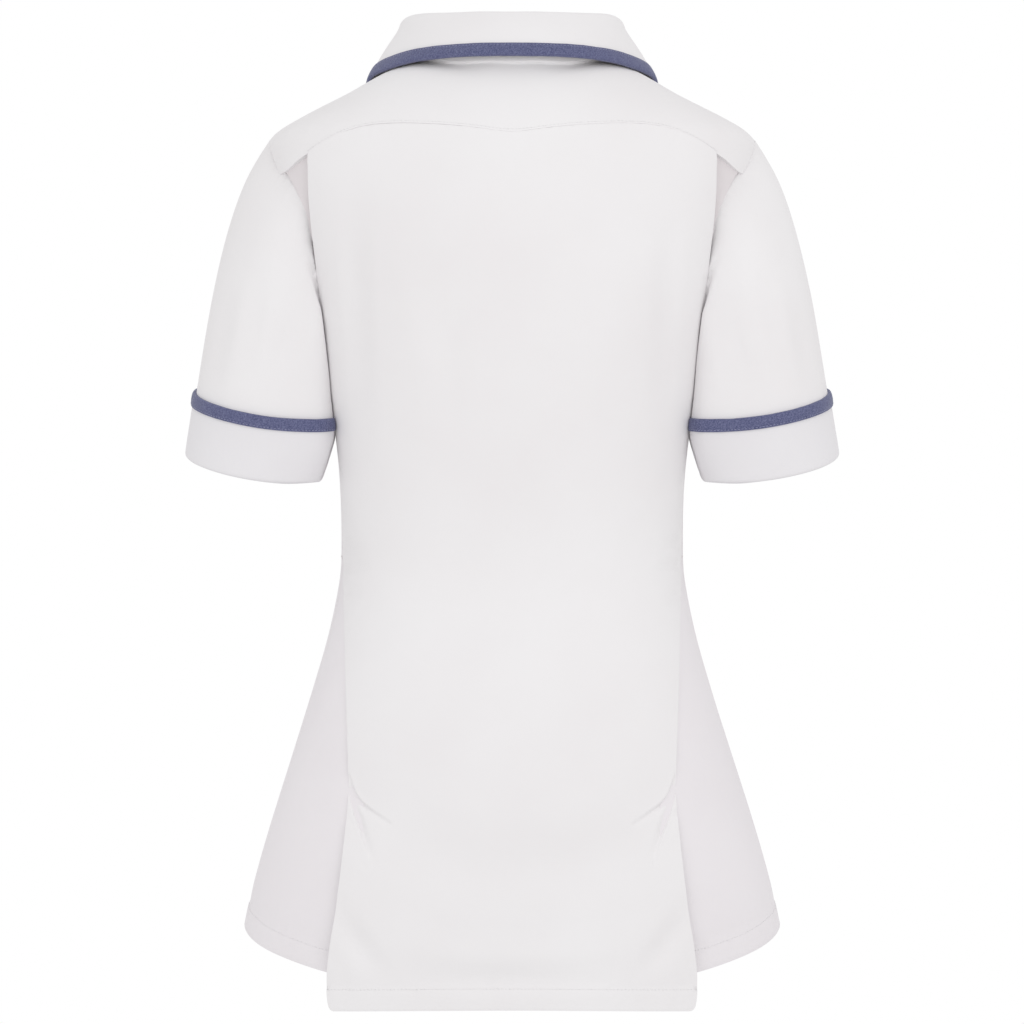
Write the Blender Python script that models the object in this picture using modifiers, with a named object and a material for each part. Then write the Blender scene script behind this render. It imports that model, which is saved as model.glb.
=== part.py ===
"""Women's medical tunic, filled out as worn, with its origin at the shoulder line on the centre line.

Metres, +Z up. The wearer's front faces -Y, the back faces +Y and the wearer's left is +X.
Every cloth piece is an open surface, worked out from a few girths, seams and edges, then given a wall.
"""

import math
from collections import namedtuple

import bpy
from mathutils import Matrix, Vector

for thing in list(bpy.data.objects):
    bpy.data.objects.remove(thing, do_unlink=True)

# Driving sizes
WALL = 0.0012
BAND_WALL = 0.0010
SEAM_GAP = 0.0004
SEAM_TURN = 0.0110
LAYER_GAP = 0.0004
SECTION_POWER = 2.25
SHOULDER_TIP_Z = -0.0640
UNDERARM_Z = -0.2155
VENT_TOP_Z = -0.5790
BACK_HEM_Z = -0.7500
BACK_HEM_SIDE_DROP = 0.0045
FRONT_HEM_Z = -0.7060
FRONT_HEM_SIDE_Z = -0.6970
FRONT_HEM_BACK_Z = -0.7300
LAP_HALF_WIDTH = 0.0150
LAP_LIFT = 0.0020
NECK_CORNER_Z = -0.1120
SIDE_UNDERLAP = 0.0100
VENT_UNDERLAP = 0.0200
VENT_UNDERLAP_RISE = 0.0600
PLEAT_DEPTH = 0.0260
PLEAT_END_DEPTH = 0.0120
PLEAT_NARROWS_Z = -0.2000
PLEAT_FREE_EDGE = 0.0015
PLEAT_OUT_START = 0.0020
PLEAT_LAYER = 0.0020
PLEAT_END_Z = -0.4045
PLEAT_END_CLEAR = 0.0080
ARMHOLE_EASE = 0.0007
SLEEVE_HEAD_CLEAR = 0.0013
SLEEVE_TOP_LIFT = 0.0003
SLEEVE_UNDERARM_LIFT = 0.0020
SLEEVE_END_CLEAR = 0.0030
CUFF_HEIGHT = 0.0500
CUFF_TUCK = 0.0120
CUFF_LIFT = 0.0018
BAND_WIDTH = 0.0100
BUTTON_RADIUS = 0.0075
BUTTON_HEIGHT = 0.0028
BUTTON_RIM = 0.0006
BUTTON_COUNT = 6
BUTTON_TOP_Z = -0.1250
BUTTON_PITCH = 0.0978
SHOULDER_SEARCH_Z = -0.1300
BISECTIONS = 40
TURN_STEP = 0.5
RISE_STEP = 0.001
PLAN_STEP = 0.002

# How finely each surface is divided
PANEL_COLUMNS = 12
PANEL_CROWDING = 78.0
YOKE_PLEAT_COLUMNS = 6
YOKE_NECK_COLUMNS = 7
FRONT_MIDDLE_COLUMNS = 9
YOKE_ROWS = 8
YOKE_ROW_CROWDING = 1.6
YOKE_BEHIND_STEPS = 6
YOKE_AHEAD_STEPS = 5
NECK_STEPS = 6
LAP_COLUMN_SHARE = 0.09
EDGE_COLUMN = 6.0
LAST_MIDDLE_COLUMN = 7.0
SLEEVE_COLUMNS = 26
SLEEVE_ROWS = 9
SLEEVE_LINE_STEPS = 24
COLLAR_COLUMNS = 18

# Finishes, with colours in linear light
WHITE = (0.86, 0.85, 0.86)
BLUE = (0.14, 0.15, 0.29)
BUTTON_WHITE = (0.85, 0.85, 0.86)
CLOTH_ROUGHNESS = 0.75
BUTTON_ROUGHNESS = 0.35

# Girth of the worn cloth at each height: half width, depth to the back and depth to the front
Girth = namedtuple("Girth", "z half back front")
TORSO = (
    Girth(0.0100, 0.0620, 0.0560, 0.0100),
    Girth(0.0000, 0.0780, 0.0660, 0.0220),
    Girth(-0.0135, 0.1060, 0.0750, 0.0340),
    Girth(-0.0300, 0.1340, 0.0865, 0.0460),
    Girth(-0.0480, 0.1690, 0.0965, 0.0580),
    Girth(-0.0640, 0.1950, 0.1035, 0.0680),
    Girth(-0.0800, 0.1965, 0.1070, 0.0775),
    Girth(-0.0940, 0.1930, 0.1095, 0.0850),
    Girth(-0.1260, 0.1830, 0.1130, 0.0980),
    Girth(-0.1600, 0.1700, 0.1155, 0.1090),
    Girth(-0.1900, 0.1600, 0.1150, 0.1160),
    Girth(-0.2155, 0.1545, 0.1130, 0.1200),
    Girth(-0.2600, 0.1480, 0.1080, 0.1210),
    Girth(-0.3000, 0.1425, 0.1030, 0.1150),
    Girth(-0.3500, 0.1387, 0.0980, 0.1040),
    Girth(-0.4060, 0.1383, 0.0940, 0.0980),
    Girth(-0.4300, 0.1412, 0.0955, 0.1000),
    Girth(-0.4685, 0.1493, 0.1020, 0.1070),
    Girth(-0.5200, 0.1654, 0.1110, 0.1180),
    Girth(-0.5790, 0.1845, 0.1180, 0.1280),
    Girth(-0.6276, 0.2000, 0.1215, 0.1330),
    Girth(-0.6776, 0.2138, 0.1240, 0.1360),
    Girth(-0.7100, 0.2198, 0.1250, 0.1370),
    Girth(-0.7600, 0.2215, 0.1260, 0.1380),
)

# Folded side edge of the back panel, and how far the panel stands off the girth
PanelEdge = namedtuple("PanelEdge", "z x lift")
PANEL_EDGE = (
    PanelEdge(-0.0600, 0.1610, 0.0000),
    PanelEdge(-0.0834, 0.1600, 0.0000),
    PanelEdge(-0.1260, 0.1590, 0.0000),
    PanelEdge(-0.1630, 0.1535, 0.0006),
    PanelEdge(-0.1950, 0.1505, 0.0012),
    PanelEdge(-0.2410, 0.1460, 0.0020),
    PanelEdge(-0.3040, 0.1395, 0.0022),
    PanelEdge(-0.3500, 0.1354, 0.0022),
    PanelEdge(-0.4060, 0.1338, 0.0022),
    PanelEdge(-0.4310, 0.1328, 0.0022),
    PanelEdge(-0.4727, 0.1308, 0.0022),
    PanelEdge(-0.5200, 0.1288, 0.0022),
    PanelEdge(-0.5790, 0.1265, 0.0024),
    PanelEdge(-0.6500, 0.1310, 0.0042),
    PanelEdge(-0.7000, 0.1370, 0.0058),
    PanelEdge(-0.7600, 0.1425, 0.0070),
)

# Scalloped seam between yoke and back, out to the armhole
YokeSeam = namedtuple("YokeSeam", "x z")
YOKE_SEAM = (
    YokeSeam(0.0000, -0.0725),
    YokeSeam(0.0200, -0.0692),
    YokeSeam(0.0450, -0.0660),
    YokeSeam(0.0925, -0.0634),
    YokeSeam(0.1200, -0.0660),
    YokeSeam(0.1370, -0.0722),
    YokeSeam(0.1480, -0.0765),
    YokeSeam(0.1610, -0.0838),
    YokeSeam(0.1740, -0.0893),
    YokeSeam(0.1860, -0.0932),
)

PANEL_SEAM_END = YOKE_SEAM[-3]

# Armhole seen from the side, from the shoulder tip round to the underarm
ArmholePoint = namedtuple("ArmholePoint", "y z")
ARMHOLE_BACK = (
    ArmholePoint(0.0000, SHOULDER_TIP_Z),
    ArmholePoint(0.0150, -0.0680),
    ArmholePoint(0.0280, -0.0790),
    ArmholePoint(0.0400, -0.0938),
    ArmholePoint(0.0510, -0.1050),
    ArmholePoint(0.0560, -0.1240),
    ArmholePoint(0.0550, -0.1460),
    ArmholePoint(0.0500, -0.1680),
    ArmholePoint(0.0420, -0.1870),
    ArmholePoint(0.0300, -0.2030),
    ArmholePoint(0.0150, -0.2125),
    ArmholePoint(0.0000, UNDERARM_Z),
)
ARMHOLE_FRONT = (
    ArmholePoint(0.0000, SHOULDER_TIP_Z),
    ArmholePoint(-0.0130, -0.0700),
    ArmholePoint(-0.0240, -0.0830),
    ArmholePoint(-0.0330, -0.0980),
    ArmholePoint(-0.0410, -0.1140),
    ArmholePoint(-0.0460, -0.1320),
    ArmholePoint(-0.0475, -0.1520),
    ArmholePoint(-0.0450, -0.1720),
    ArmholePoint(-0.0385, -0.1900),
    ArmholePoint(-0.0280, -0.2040),
    ArmholePoint(-0.0140, -0.2130),
    ArmholePoint(0.0000, UNDERARM_Z),
)
FRONT_SEAM_Z = ARMHOLE_FRONT[2].z
BACK_SEAM_Z = -0.0930

# Neckline from the centre back to the front end of the yoke, seen from above
NeckPoint = namedtuple("NeckPoint", "x y")
BACK_NECK = (
    NeckPoint(0.0000, 0.0750),
    NeckPoint(0.0290, 0.0716),
    NeckPoint(0.0510, 0.0615),
    NeckPoint(0.0665, 0.0450),
    NeckPoint(0.0750, 0.0240),
    NeckPoint(0.0780, 0.0000),
    NeckPoint(0.0800, -0.0240),
)

# Neckline up the front, seen from the front; the collar starts at its third point
FrontNeckPoint = namedtuple("FrontNeckPoint", "x z")
FRONT_NECK = (
    FrontNeckPoint(-LAP_HALF_WIDTH, NECK_CORNER_Z),
    FrontNeckPoint(0.0020, -0.1035),
    FrontNeckPoint(0.0180, -0.0940),
    FrontNeckPoint(0.0330, -0.0820),
    FrontNeckPoint(0.0500, -0.0620),
    FrontNeckPoint(0.0640, -0.0420),
    FrontNeckPoint(0.0740, -0.0240),
    FrontNeckPoint(0.0800, -0.0085),
)

# The hem drops from the side round to the back panel
SIDE_ANGLE = 90.0
BEHIND_REACH = 60.0

# Side edge of a front, as an angle round from the centre front
SideEdge = namedtuple("SideEdge", "z angle")
FRONT_SIDE = (
    SideEdge(-0.2155, 90.0),
    SideEdge(-0.2600, 91.0),
    SideEdge(-0.3040, 93.0),
    SideEdge(-0.3500, 95.5),
    SideEdge(-0.4060, 98.0),
)

# Collar sections at the points of the two necklines, from the centre back to the front end
CollarSection = namedtuple("CollarSection", "fold_x fold_y fold_z edge_x edge_y edge_z turn")
COLLAR = (
    CollarSection(0.0000, 0.0680, 0.0278, 0.0000, 0.0865, -0.0107, 0.0035),
    CollarSection(0.0310, 0.0625, 0.0284, 0.0330, 0.0835, -0.0104, 0.0036),
    CollarSection(0.0590, 0.0490, 0.0302, 0.0620, 0.0700, -0.0100, 0.0044),
    CollarSection(0.0755, 0.0345, 0.0320, 0.0850, 0.0490, -0.0100, 0.0054),
    CollarSection(0.0850, 0.0165, 0.0325, 0.1035, 0.0240, -0.0125, 0.0064),
    CollarSection(0.0880, -0.0060, 0.0300, 0.1165, -0.0020, -0.0140, 0.0062),
    CollarSection(0.0865, -0.0300, 0.0185, 0.1200, -0.0380, -0.0320, 0.0056),
    CollarSection(0.0770, -0.0475, -0.0030, 0.1120, -0.0675, -0.0700, 0.0045),
    CollarSection(0.0670, -0.0605, -0.0230, 0.0950, -0.0845, -0.1000, 0.0040),
    CollarSection(0.0520, -0.0730, -0.0450, 0.0760, -0.0975, -0.1240, 0.0035),
    CollarSection(0.0340, -0.0845, -0.0680, 0.0590, -0.1065, -0.1420, 0.0030),
    CollarSection(0.0185, -0.0930, -0.0830, 0.0470, -0.1115, -0.1530, 0.0026),
)
COLLAR_SEAM_LIFT = 0.0027
COLLAR_FIRST_FRONT_POINT = 2
COLLAR_LAP_STATIONS = 3
COLLAR_FALL_SHARES = (0.36, 0.70, 1.0)
COLLAR_CROWN = 0.05

# Sleeve: its open end, and how it leaves the armhole and reaches that end
SLEEVE_END_CENTRE = Vector((0.2080, -0.0040, -0.3240))
SLEEVE_END_HALF_WIDTH = 0.0560
SLEEVE_END_DEPTH = 0.0610
SLEEVE_END_POWER = 2.15
SLEEVE_END_SLOPE_ACROSS = 0.120
SLEEVE_END_SLOPE_DEPTH = -0.200
SLEEVE_END_DIRECTION = Vector((0.17, 0.0, -0.985))
SLEEVE_END_PULL = 0.80
SleeveStart = namedtuple("SleeveStart", "turn out along down pull")
SLEEVE_STARTS = (
    SleeveStart(0.0, 0.71, 0.00, -0.70, 0.66),
    SleeveStart(45.0, 0.63, 0.22, -0.74, 0.68),
    SleeveStart(90.0, 0.45, 0.30, -0.84, 0.80),
    SleeveStart(135.0, 0.16, 0.18, -0.97, 0.85),
    SleeveStart(180.0, -0.06, 0.00, -1.00, 0.90),
)

# Heights of the rows of each long panel
BACK_ROWS = (
    -0.7300, -0.7000, -0.6650, -0.6250, -0.5790, -0.5400, -0.5000, -0.4650,
    -0.4310, -0.4060, -0.3750, -0.3400, -0.3040, -0.2600, -0.2155, -0.1750, -0.1380, -0.1120,
)
FRONT_ROWS = (
    -0.6700, -0.6276, -0.5790, -0.5400, -0.5000, -0.4650, -0.4310, -0.4060,
    -0.3750, -0.3400, -0.3040, -0.2600,
)
FRONT_EDGE_ROWS = (UNDERARM_Z, -0.1800, -0.1450, NECK_CORNER_Z)
LOW_ROW_START_Z = -0.6000
LOW_ROW_DROP = 0.0120
PLEAT_ROWS = (
    -0.3750, -0.3400, -0.3040, -0.2600, -0.2155, -0.1950, -0.1750, -0.1550, -0.1350, -0.1180, -0.1020,
)


def slope(xs, ys, i):
    """Slope of the table's curve at row i, from the rows beside it."""
    low = max(i - 1, 0)
    high = min(i + 1, len(xs) - 1)
    return (ys[high] - ys[low]) / (xs[high] - xs[low])


def curve_at(xs, ys, x):
    """Smooth value at x of a table whose xs rise or fall all the way, held at its ends."""
    if xs[0] > xs[-1]:
        xs = xs[::-1]
        ys = ys[::-1]
    x = min(max(x, xs[0]), xs[-1])
    i = 0
    while i < len(xs) - 2 and x > xs[i + 1]:
        i += 1
    width = xs[i + 1] - xs[i]
    t = (x - xs[i]) / width
    start = slope(xs, ys, i) * width
    end = slope(xs, ys, i + 1) * width
    rise = ys[i + 1] - ys[i]
    return ys[i] + start * t + (3 * rise - 2 * start - end) * t * t + (start + end - 2 * rise) * t**3


def column(table, key, name, at):
    """Smooth value of one named column of a table at a value of its key column."""
    return curve_at([getattr(row, key) for row in table], [getattr(row, name) for row in table], at)


def along(points, fraction):
    """Point at a fraction of the way along a smooth curve through points."""
    lengths = [0.0]
    for a, b in zip(points, points[1:]):
        lengths.append(lengths[-1] + (b - a).length)
    at = fraction * lengths[-1]
    return Vector([curve_at(lengths, [p[i] for p in points], at) for i in range(len(points[0]))])


def blend(a, b, t):
    return a + (b - a) * t


def smooth(t):
    t = min(max(t, 0.0), 1.0)
    return t * t * (3 - 2 * t)


def signed_power(value, power):
    return math.copysign(abs(value) ** power, value)


def torso(angle, z, lift=0.0):
    """Point of the worn cloth at an angle in degrees from the centre front, moved out by lift."""
    point = torso_surface(angle, z)
    if lift:
        point = point + lift * torso_normal(angle, z)
    return point


def torso_surface(angle, z):
    turn = math.radians(angle)
    reach = 2 / SECTION_POWER
    depth = column(TORSO, "z", "front" if math.cos(turn) > 0 else "back", z)
    x = column(TORSO, "z", "half", z) * signed_power(math.sin(turn), reach)
    y = -depth * signed_power(math.cos(turn), reach)
    return Vector((x, y, z))


def torso_normal(angle, z):
    across = torso_surface(angle + TURN_STEP, z) - torso_surface(angle - TURN_STEP, z)
    up = torso_surface(angle, z + RISE_STEP) - torso_surface(angle, z - RISE_STEP)
    return across.cross(up).normalized()


def angle_at(x, z, behind=False):
    """Angle from the centre front of the surface point at x and z."""
    share = min(abs(x) / column(TORSO, "z", "half", z), 1.0)
    angle = math.degrees(math.asin(share ** (SECTION_POWER / 2)))
    angle = math.copysign(angle, x)
    return 180.0 - angle if behind else angle


def angle_from_depth(y, z):
    """Angle from the centre front of the surface point at y and z, on the left side."""
    depth = column(TORSO, "z", "back" if y > 0 else "front", z)
    share = min(abs(y) / depth, 1.0)
    from_side = math.degrees(math.asin(share ** (SECTION_POWER / 2)))
    return 90.0 + math.copysign(from_side, y)


def height_over(x, y):
    """Point of the shoulder surface straight above a place in plan."""
    low = SHOULDER_SEARCH_Z
    high = TORSO[0].z
    for _ in range(BISECTIONS):
        z = (low + high) / 2
        half = column(TORSO, "z", "half", z)
        depth = column(TORSO, "z", "back" if y > 0 else "front", z)
        outside = (abs(x) / half) ** SECTION_POWER + (abs(y) / depth) ** SECTION_POWER > 1
        if outside:
            high = z
        else:
            low = z
    return Vector((x, y, (low + high) / 2))


def armhole(table, fraction):
    """Angle and height on the torso at a fraction of the way from the shoulder tip to the underarm."""
    side = along([Vector((p.y, p.z)) for p in table], fraction)
    return angle_from_depth(side[0], side[1]), side[1]


def fraction_at(table, z):
    """Fraction of the way down an armhole at which it passes a height."""
    low = 0.0
    high = 1.0
    for _ in range(BISECTIONS):
        middle = (low + high) / 2
        if armhole(table, middle)[1] > z:
            low = middle
        else:
            high = middle
    return low


def pull_back(points, toward, distance):
    """Points of an edge, each moved a short way towards its neighbour in the next row in."""
    return [p + (q - p).normalized() * distance for p, q in zip(points, toward)]


def normals(grid):
    """Unit normal at each point of a grid of rows, from the rows and columns beside it."""
    found = []
    last_row = len(grid) - 1
    last_column = len(grid[0]) - 1
    for i, row in enumerate(grid):
        line = []
        for j in range(last_column + 1):
            across = row[min(j + 1, last_column)] - row[max(j - 1, 0)]
            up = grid[min(i + 1, last_row)][j] - grid[max(i - 1, 0)][j]
            line.append(across.cross(up).normalized())
        found.append(line)
    return found


def mirrored(grid):
    return [[Vector((-p.x, p.y, p.z)) for p in row] for row in grid]


def material(name, colour, roughness):
    made = bpy.data.materials.new(name)
    made.use_nodes = True
    shader = made.node_tree.nodes["Principled BSDF"]
    shader.inputs["Base Color"].default_value = (*colour, 1.0)
    shader.inputs["Roughness"].default_value = roughness
    shader.inputs["Metallic"].default_value = 0.0
    return made


def cloth(name, grid, wall=WALL, closed=False, mirror=False, colour=WHITE):
    """One cloth piece: an open surface through a grid of rows, with an even wall on both sides of it."""
    count = len(grid[0])
    vertices = [tuple(p) for row in grid for p in row]
    faces = []
    for i in range(len(grid) - 1):
        for j in range(count if closed else count - 1):
            after = (j + 1) % count
            faces.append((i * count + j, i * count + after, (i + 1) * count + after, (i + 1) * count + j))
    mesh = bpy.data.meshes.new(name)
    mesh.from_pydata(vertices, [], faces)
    mesh.materials.append(material(name, colour, CLOTH_ROUGHNESS))
    piece = bpy.data.objects.new(name, mesh)
    PIECES.objects.link(piece)
    if mirror:
        half = piece.modifiers.new("other_half", "MIRROR")
        half.merge_threshold = 0.0001
    thick = piece.modifiers.new("wall", "SOLIDIFY")
    thick.thickness = wall
    thick.offset = 0.0
    thick.use_even_offset = True
    mesh.shade_smooth()
    return piece


def pair(name, grid, **options):
    """The same piece on the left and, mirrored, on the right."""
    cloth(name + "_left", grid, **options)
    cloth(name + "_right", mirrored(grid), **options)


PIECES = bpy.data.collections.new("medical_tunic")
bpy.context.scene.collection.children.link(PIECES)


# Back: a centre panel from the scalloped yoke seam to the hem of its free flap
def panel_edge_angle(z):
    xs = [row.z for row in PANEL_EDGE]
    angles = [angle_at(row.x, row.z, behind=True) for row in PANEL_EDGE]
    return curve_at(xs, angles, z)


def panel_point(share, z):
    """Point of the back panel at a share of its half width, with its lift."""
    edge_x = torso_surface(panel_edge_angle(z), z).x
    angle = angle_at(share * edge_x, z, behind=True)
    if share == 1.0:
        angle = panel_edge_angle(z)
    return torso(angle, z, column(PANEL_EDGE, "z", "lift", z))


def seam_z(x):
    return column(YOKE_SEAM, "x", "z", x)


def panel_shares():
    """Column places, closer together towards the edge, where the panel turns to the side."""
    reach = math.radians(PANEL_CROWDING)
    return [math.sin(reach * j / PANEL_COLUMNS) / math.sin(reach) for j in range(PANEL_COLUMNS + 1)]


def back_grid():
    """Rows from the hem of the flap up to the yoke seam, from the centre out to the folded edge."""
    shares = panel_shares()
    hem = [BACK_HEM_Z - BACK_HEM_SIDE_DROP * share**2 for share in shares]
    rows = [[panel_point(share, z) for share, z in zip(shares, hem)]]
    for z in BACK_ROWS:
        rows.append([panel_point(share, z) for share in shares])
    top_half = torso_surface(panel_edge_angle(PANEL_SEAM_END.z), PANEL_SEAM_END.z).x
    for below in (SEAM_TURN, SEAM_GAP / 2):
        rows.append([panel_point(share, seam_z(share * top_half) - below) for share in shares])
    for row in rows:
        row[0].x = 0.0
    return rows


BACK_GRID = back_grid()
cloth("back_panel", BACK_GRID, mirror=True)


# Action pleat: the cloth folds in under the panel's edge and comes out again to the armhole
def pleat_outer_angle(z):
    """Angle of the outer edge of the pleat: the armhole, then the side seam."""
    if z > UNDERARM_Z:
        return armhole(ARMHOLE_BACK, fraction_at(ARMHOLE_BACK, z))[0]
    return column(FRONT_SIDE, "z", "angle", z)


def front_anchors(z):
    """Angles of the last two columns of a front at a height: beside the back's edge, and the outer edge."""
    if z > FRONT_SIDE[-1].z - RISE_STEP:
        outer = column(FRONT_SIDE, "z", "angle", z)
        return outer - EDGE_COLUMN, outer
    edge = panel_edge_angle(z)
    degree = math.degrees(1.0 / column(TORSO, "z", "half", z))
    free = smooth((VENT_TOP_Z + VENT_UNDERLAP_RISE / 2 - z) / VENT_UNDERLAP_RISE)
    return edge, edge + blend(SIDE_UNDERLAP, VENT_UNDERLAP, free) * degree


def pleat_places(z):
    """Angle, height and lift along one section: from the free end under the fold edge, in, round and out."""
    edge = panel_edge_angle(z)
    degree = math.degrees(1.0 / column(TORSO, "z", "half", z))
    narrowing = smooth((PLEAT_NARROWS_Z - z) / (PLEAT_NARROWS_Z - PLEAT_END_Z))
    depth = blend(PLEAT_DEPTH, PLEAT_END_DEPTH, narrowing)
    first = column(PANEL_EDGE, "z", "lift", z) - PLEAT_LAYER
    second = first - PLEAT_LAYER
    turn = PLEAT_LAYER / 2
    points = []
    for inward in (PLEAT_FREE_EDGE, depth / 2, depth):
        points.append((edge + inward * degree, z, first))
    for step in (1, 2, 3):
        swing = math.pi * step / 4
        inward = depth + turn * math.sin(swing)
        points.append((edge + inward * degree, z, first - turn + turn * math.cos(swing)))
    for inward in (depth, 0.4 * depth):
        points.append((edge + inward * degree, z, second))
    near = edge - PLEAT_OUT_START * degree
    outer = pleat_outer_angle(z) + ARMHOLE_EASE * degree
    for step in (0.0, 0.35, 0.7, 1.0):
        points.append((blend(near, outer, step), z, blend(second, 0.0, smooth(step))))
    return points


def pleat_section(z):
    """Points of one level section of the pleat."""
    return [torso(*place) for place in pleat_places(z)]


def pleat_end():
    """Lowest row of the pleat, slanting down beside the edge of the front as that goes under the back."""
    low = FRONT_ROWS[FRONT_ROWS.index(FRONT_SIDE[-1].z) - 1]
    low_angle = front_anchors(low)[1]
    points = []
    for k, (angle, z, lift) in enumerate(pleat_places(PLEAT_END_Z)):
        share = (angle - FRONT_SIDE[-1].angle) / (low_angle - FRONT_SIDE[-1].angle)
        slanted = blend(z, low + PLEAT_END_CLEAR, min(max(share, 0.0), 1.0))
        points.append(torso(*pleat_places(slanted)[k]))
    return points


def pleat_grid():
    """Rows from the pleat's lower end up to the yoke seam."""
    rows = [pleat_end()] + [pleat_section(z) for z in PLEAT_ROWS]
    heights = [seam_z(p.x) - 2 * SEAM_GAP for p in pleat_section(PANEL_SEAM_END.z)]
    rows.append([pleat_section(z)[k] for k, z in enumerate(heights)])
    return rows


pair("pleat", pleat_grid())


# Yoke: over both shoulders, from the scalloped back seam to a seam just forward of the shoulder line
def front_seam(share):
    """Angle and height on the front seam of the yoke, from the neck to the armhole."""
    neck = height_over(BACK_NECK[-1].x, BACK_NECK[-1].y)
    start = angle_from_depth(neck.y, neck.z)
    end = armhole(ARMHOLE_FRONT, fraction_at(ARMHOLE_FRONT, FRONT_SEAM_Z))
    return blend(start, end[0], share), blend(neck.z, end[1], share)


def neck_plan(share):
    """Place in plan on the yoke's neckline, from the centre back to its front end."""
    return along([Vector((p.x, p.y)) for p in BACK_NECK], share)


def yoke_sides():
    """The yoke's four sides: back seam, neckline with front seam, and armhole."""
    seam = [(p.x, p.z + SEAM_GAP) for p in BACK_GRID[-1]]
    corner = torso(*armhole(ARMHOLE_BACK, fraction_at(ARMHOLE_BACK, BACK_SEAM_Z)))
    for step in range(1, YOKE_PLEAT_COLUMNS):
        x = blend(seam[PANEL_COLUMNS][0], corner.x, step / YOKE_PLEAT_COLUMNS)
        seam.append((x, seam_z(x) + SEAM_GAP / 2))
    back = [torso(angle_at(x, z, behind=True), z) for x, z in seam]
    back.append(corner)
    ahead = [height_over(*neck_plan(j / YOKE_NECK_COLUMNS)) for j in range(YOKE_NECK_COLUMNS)]
    front_columns = len(back) - 1 - YOKE_NECK_COLUMNS
    for j in range(front_columns + 1):
        ahead.append(torso(*front_seam(j / front_columns)))
    up = fraction_at(ARMHOLE_BACK, BACK_SEAM_Z)
    down = fraction_at(ARMHOLE_FRONT, FRONT_SEAM_Z)
    over = []
    for step in range(YOKE_BEHIND_STEPS):
        over.append(torso(*armhole(ARMHOLE_BACK, up * (1 - step / YOKE_BEHIND_STEPS))))
    for step in range(YOKE_AHEAD_STEPS + 1):
        over.append(torso(*armhole(ARMHOLE_FRONT, down * step / YOKE_AHEAD_STEPS)))
    return back, ahead, over


def place_on_torso(point):
    """Angle from the centre front and height of a point on the surface."""
    half = column(TORSO, "z", "half", point.z)
    depth = column(TORSO, "z", "back" if point.y > 0 else "front", point.z)
    sideways = (abs(point.x) / half) ** (SECTION_POWER / 2)
    ahead = math.copysign((abs(point.y) / depth) ** (SECTION_POWER / 2), -point.y)
    return Vector((math.degrees(math.atan2(sideways, ahead)), point.z))


def yoke_grid():
    """Rows from the back seam to the front: straight in plan by the neck, then a patch to the armhole."""
    back, ahead, over = yoke_sides()
    first = YOKE_NECK_COLUMNS
    last = len(back) - 1
    low = [place_on_torso(p) for p in back]
    high = [place_on_torso(p) for p in ahead]
    rows = []
    for i in range(YOKE_ROWS + 1):
        up = (i / YOKE_ROWS) ** YOKE_ROW_CROWDING
        row = [height_over(*blend(back[j], ahead[j], up).xy) for j in range(first + 1)]
        inner = place_on_torso(row[first])
        outer = place_on_torso(along(over, up))
        for j in range(first + 1, last + 1):
            out = (j - first) / (last - first)
            place = blend(low[j], high[j], up)
            place += (1 - out) * (inner - blend(low[first], high[first], up))
            place += out * (outer - blend(low[last], high[last], up))
            row.append(torso(*place))
        if i == 0:
            row = [p.copy() for p in back]
        row[0].x = 0.0
        row[-1] = row[-1] + (row[-2] - row[-1]).normalized() * ARMHOLE_EASE
        rows.append(row)
    rows[-1][first + 1:] = pull_back(rows[-1][first + 1:], rows[-2][first + 1:], SEAM_GAP)
    return rows


cloth("yoke", yoke_grid(), mirror=True)


# Fronts: from the lapped front edge round to the back panel, up to the armhole, yoke and neckline
def behind_side(angle):
    """Share of the way from the side round to the back panel, for what drops lower there."""
    return min(max((angle - SIDE_ANGLE) / BEHIND_REACH, 0.0), 1.0)


def front_hem(angle):
    """Height of the hem at an angle: level in front, a little higher at the side, lower at the back."""
    ahead = blend(FRONT_HEM_Z, FRONT_HEM_SIDE_Z, smooth(angle / SIDE_ANGLE))
    return ahead + (FRONT_HEM_BACK_Z - FRONT_HEM_SIDE_Z) * behind_side(angle)


def front_angles(inner, beside, outer):
    """Angles of a row's columns: three over the lap, the middle ones even, two at the outer edge."""
    lap = (outer - inner) * LAP_COLUMN_SHARE
    angles = [inner, inner + lap / 2, inner + lap]
    last = beside - LAST_MIDDLE_COLUMN
    for step in range(1, FRONT_MIDDLE_COLUMNS + 1):
        angles.append(blend(inner + lap, last, step / FRONT_MIDDLE_COLUMNS))
    return angles + [beside, outer]


def front_rows():
    """Angle and height of every point of a front."""
    beside, outer = front_anchors(FRONT_HEM_BACK_Z)
    inner = angle_at(-LAP_HALF_WIDTH, FRONT_HEM_Z)
    rows = [[(angle, front_hem(angle)) for angle in front_angles(inner, beside, outer)]]
    for z in FRONT_ROWS:
        beside, outer = front_anchors(z)
        drop = LOW_ROW_DROP * smooth((LOW_ROW_START_Z - z) / (LOW_ROW_START_Z - FRONT_ROWS[0]))
        inner = angle_at(-LAP_HALF_WIDTH, z)
        rows.append([(angle, z - drop * behind_side(angle)) for angle in front_angles(inner, beside, outer)])
    neck = [Vector((angle_at(p.x, p.z), p.z)) for p in FRONT_NECK]
    starts = [(angle_at(-LAP_HALF_WIDTH, z), z) for z in FRONT_EDGE_ROWS]
    starts += [tuple(along(neck, step / NECK_STEPS)) for step in range(1, NECK_STEPS)]
    starts.append(front_seam(0.0))
    stop = fraction_at(ARMHOLE_FRONT, FRONT_SEAM_Z)
    for k, start in enumerate(starts):
        end = armhole(ARMHOLE_FRONT, blend(1.0, stop, k / (len(starts) - 1)))
        angles = front_angles(start[0], end[0] - EDGE_COLUMN, end[0])
        heights = [blend(start[1], end[1], (angle - start[0]) / (end[0] - start[0])) for angle in angles]
        rows.append(list(zip(angles, heights)))
    return rows


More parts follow.
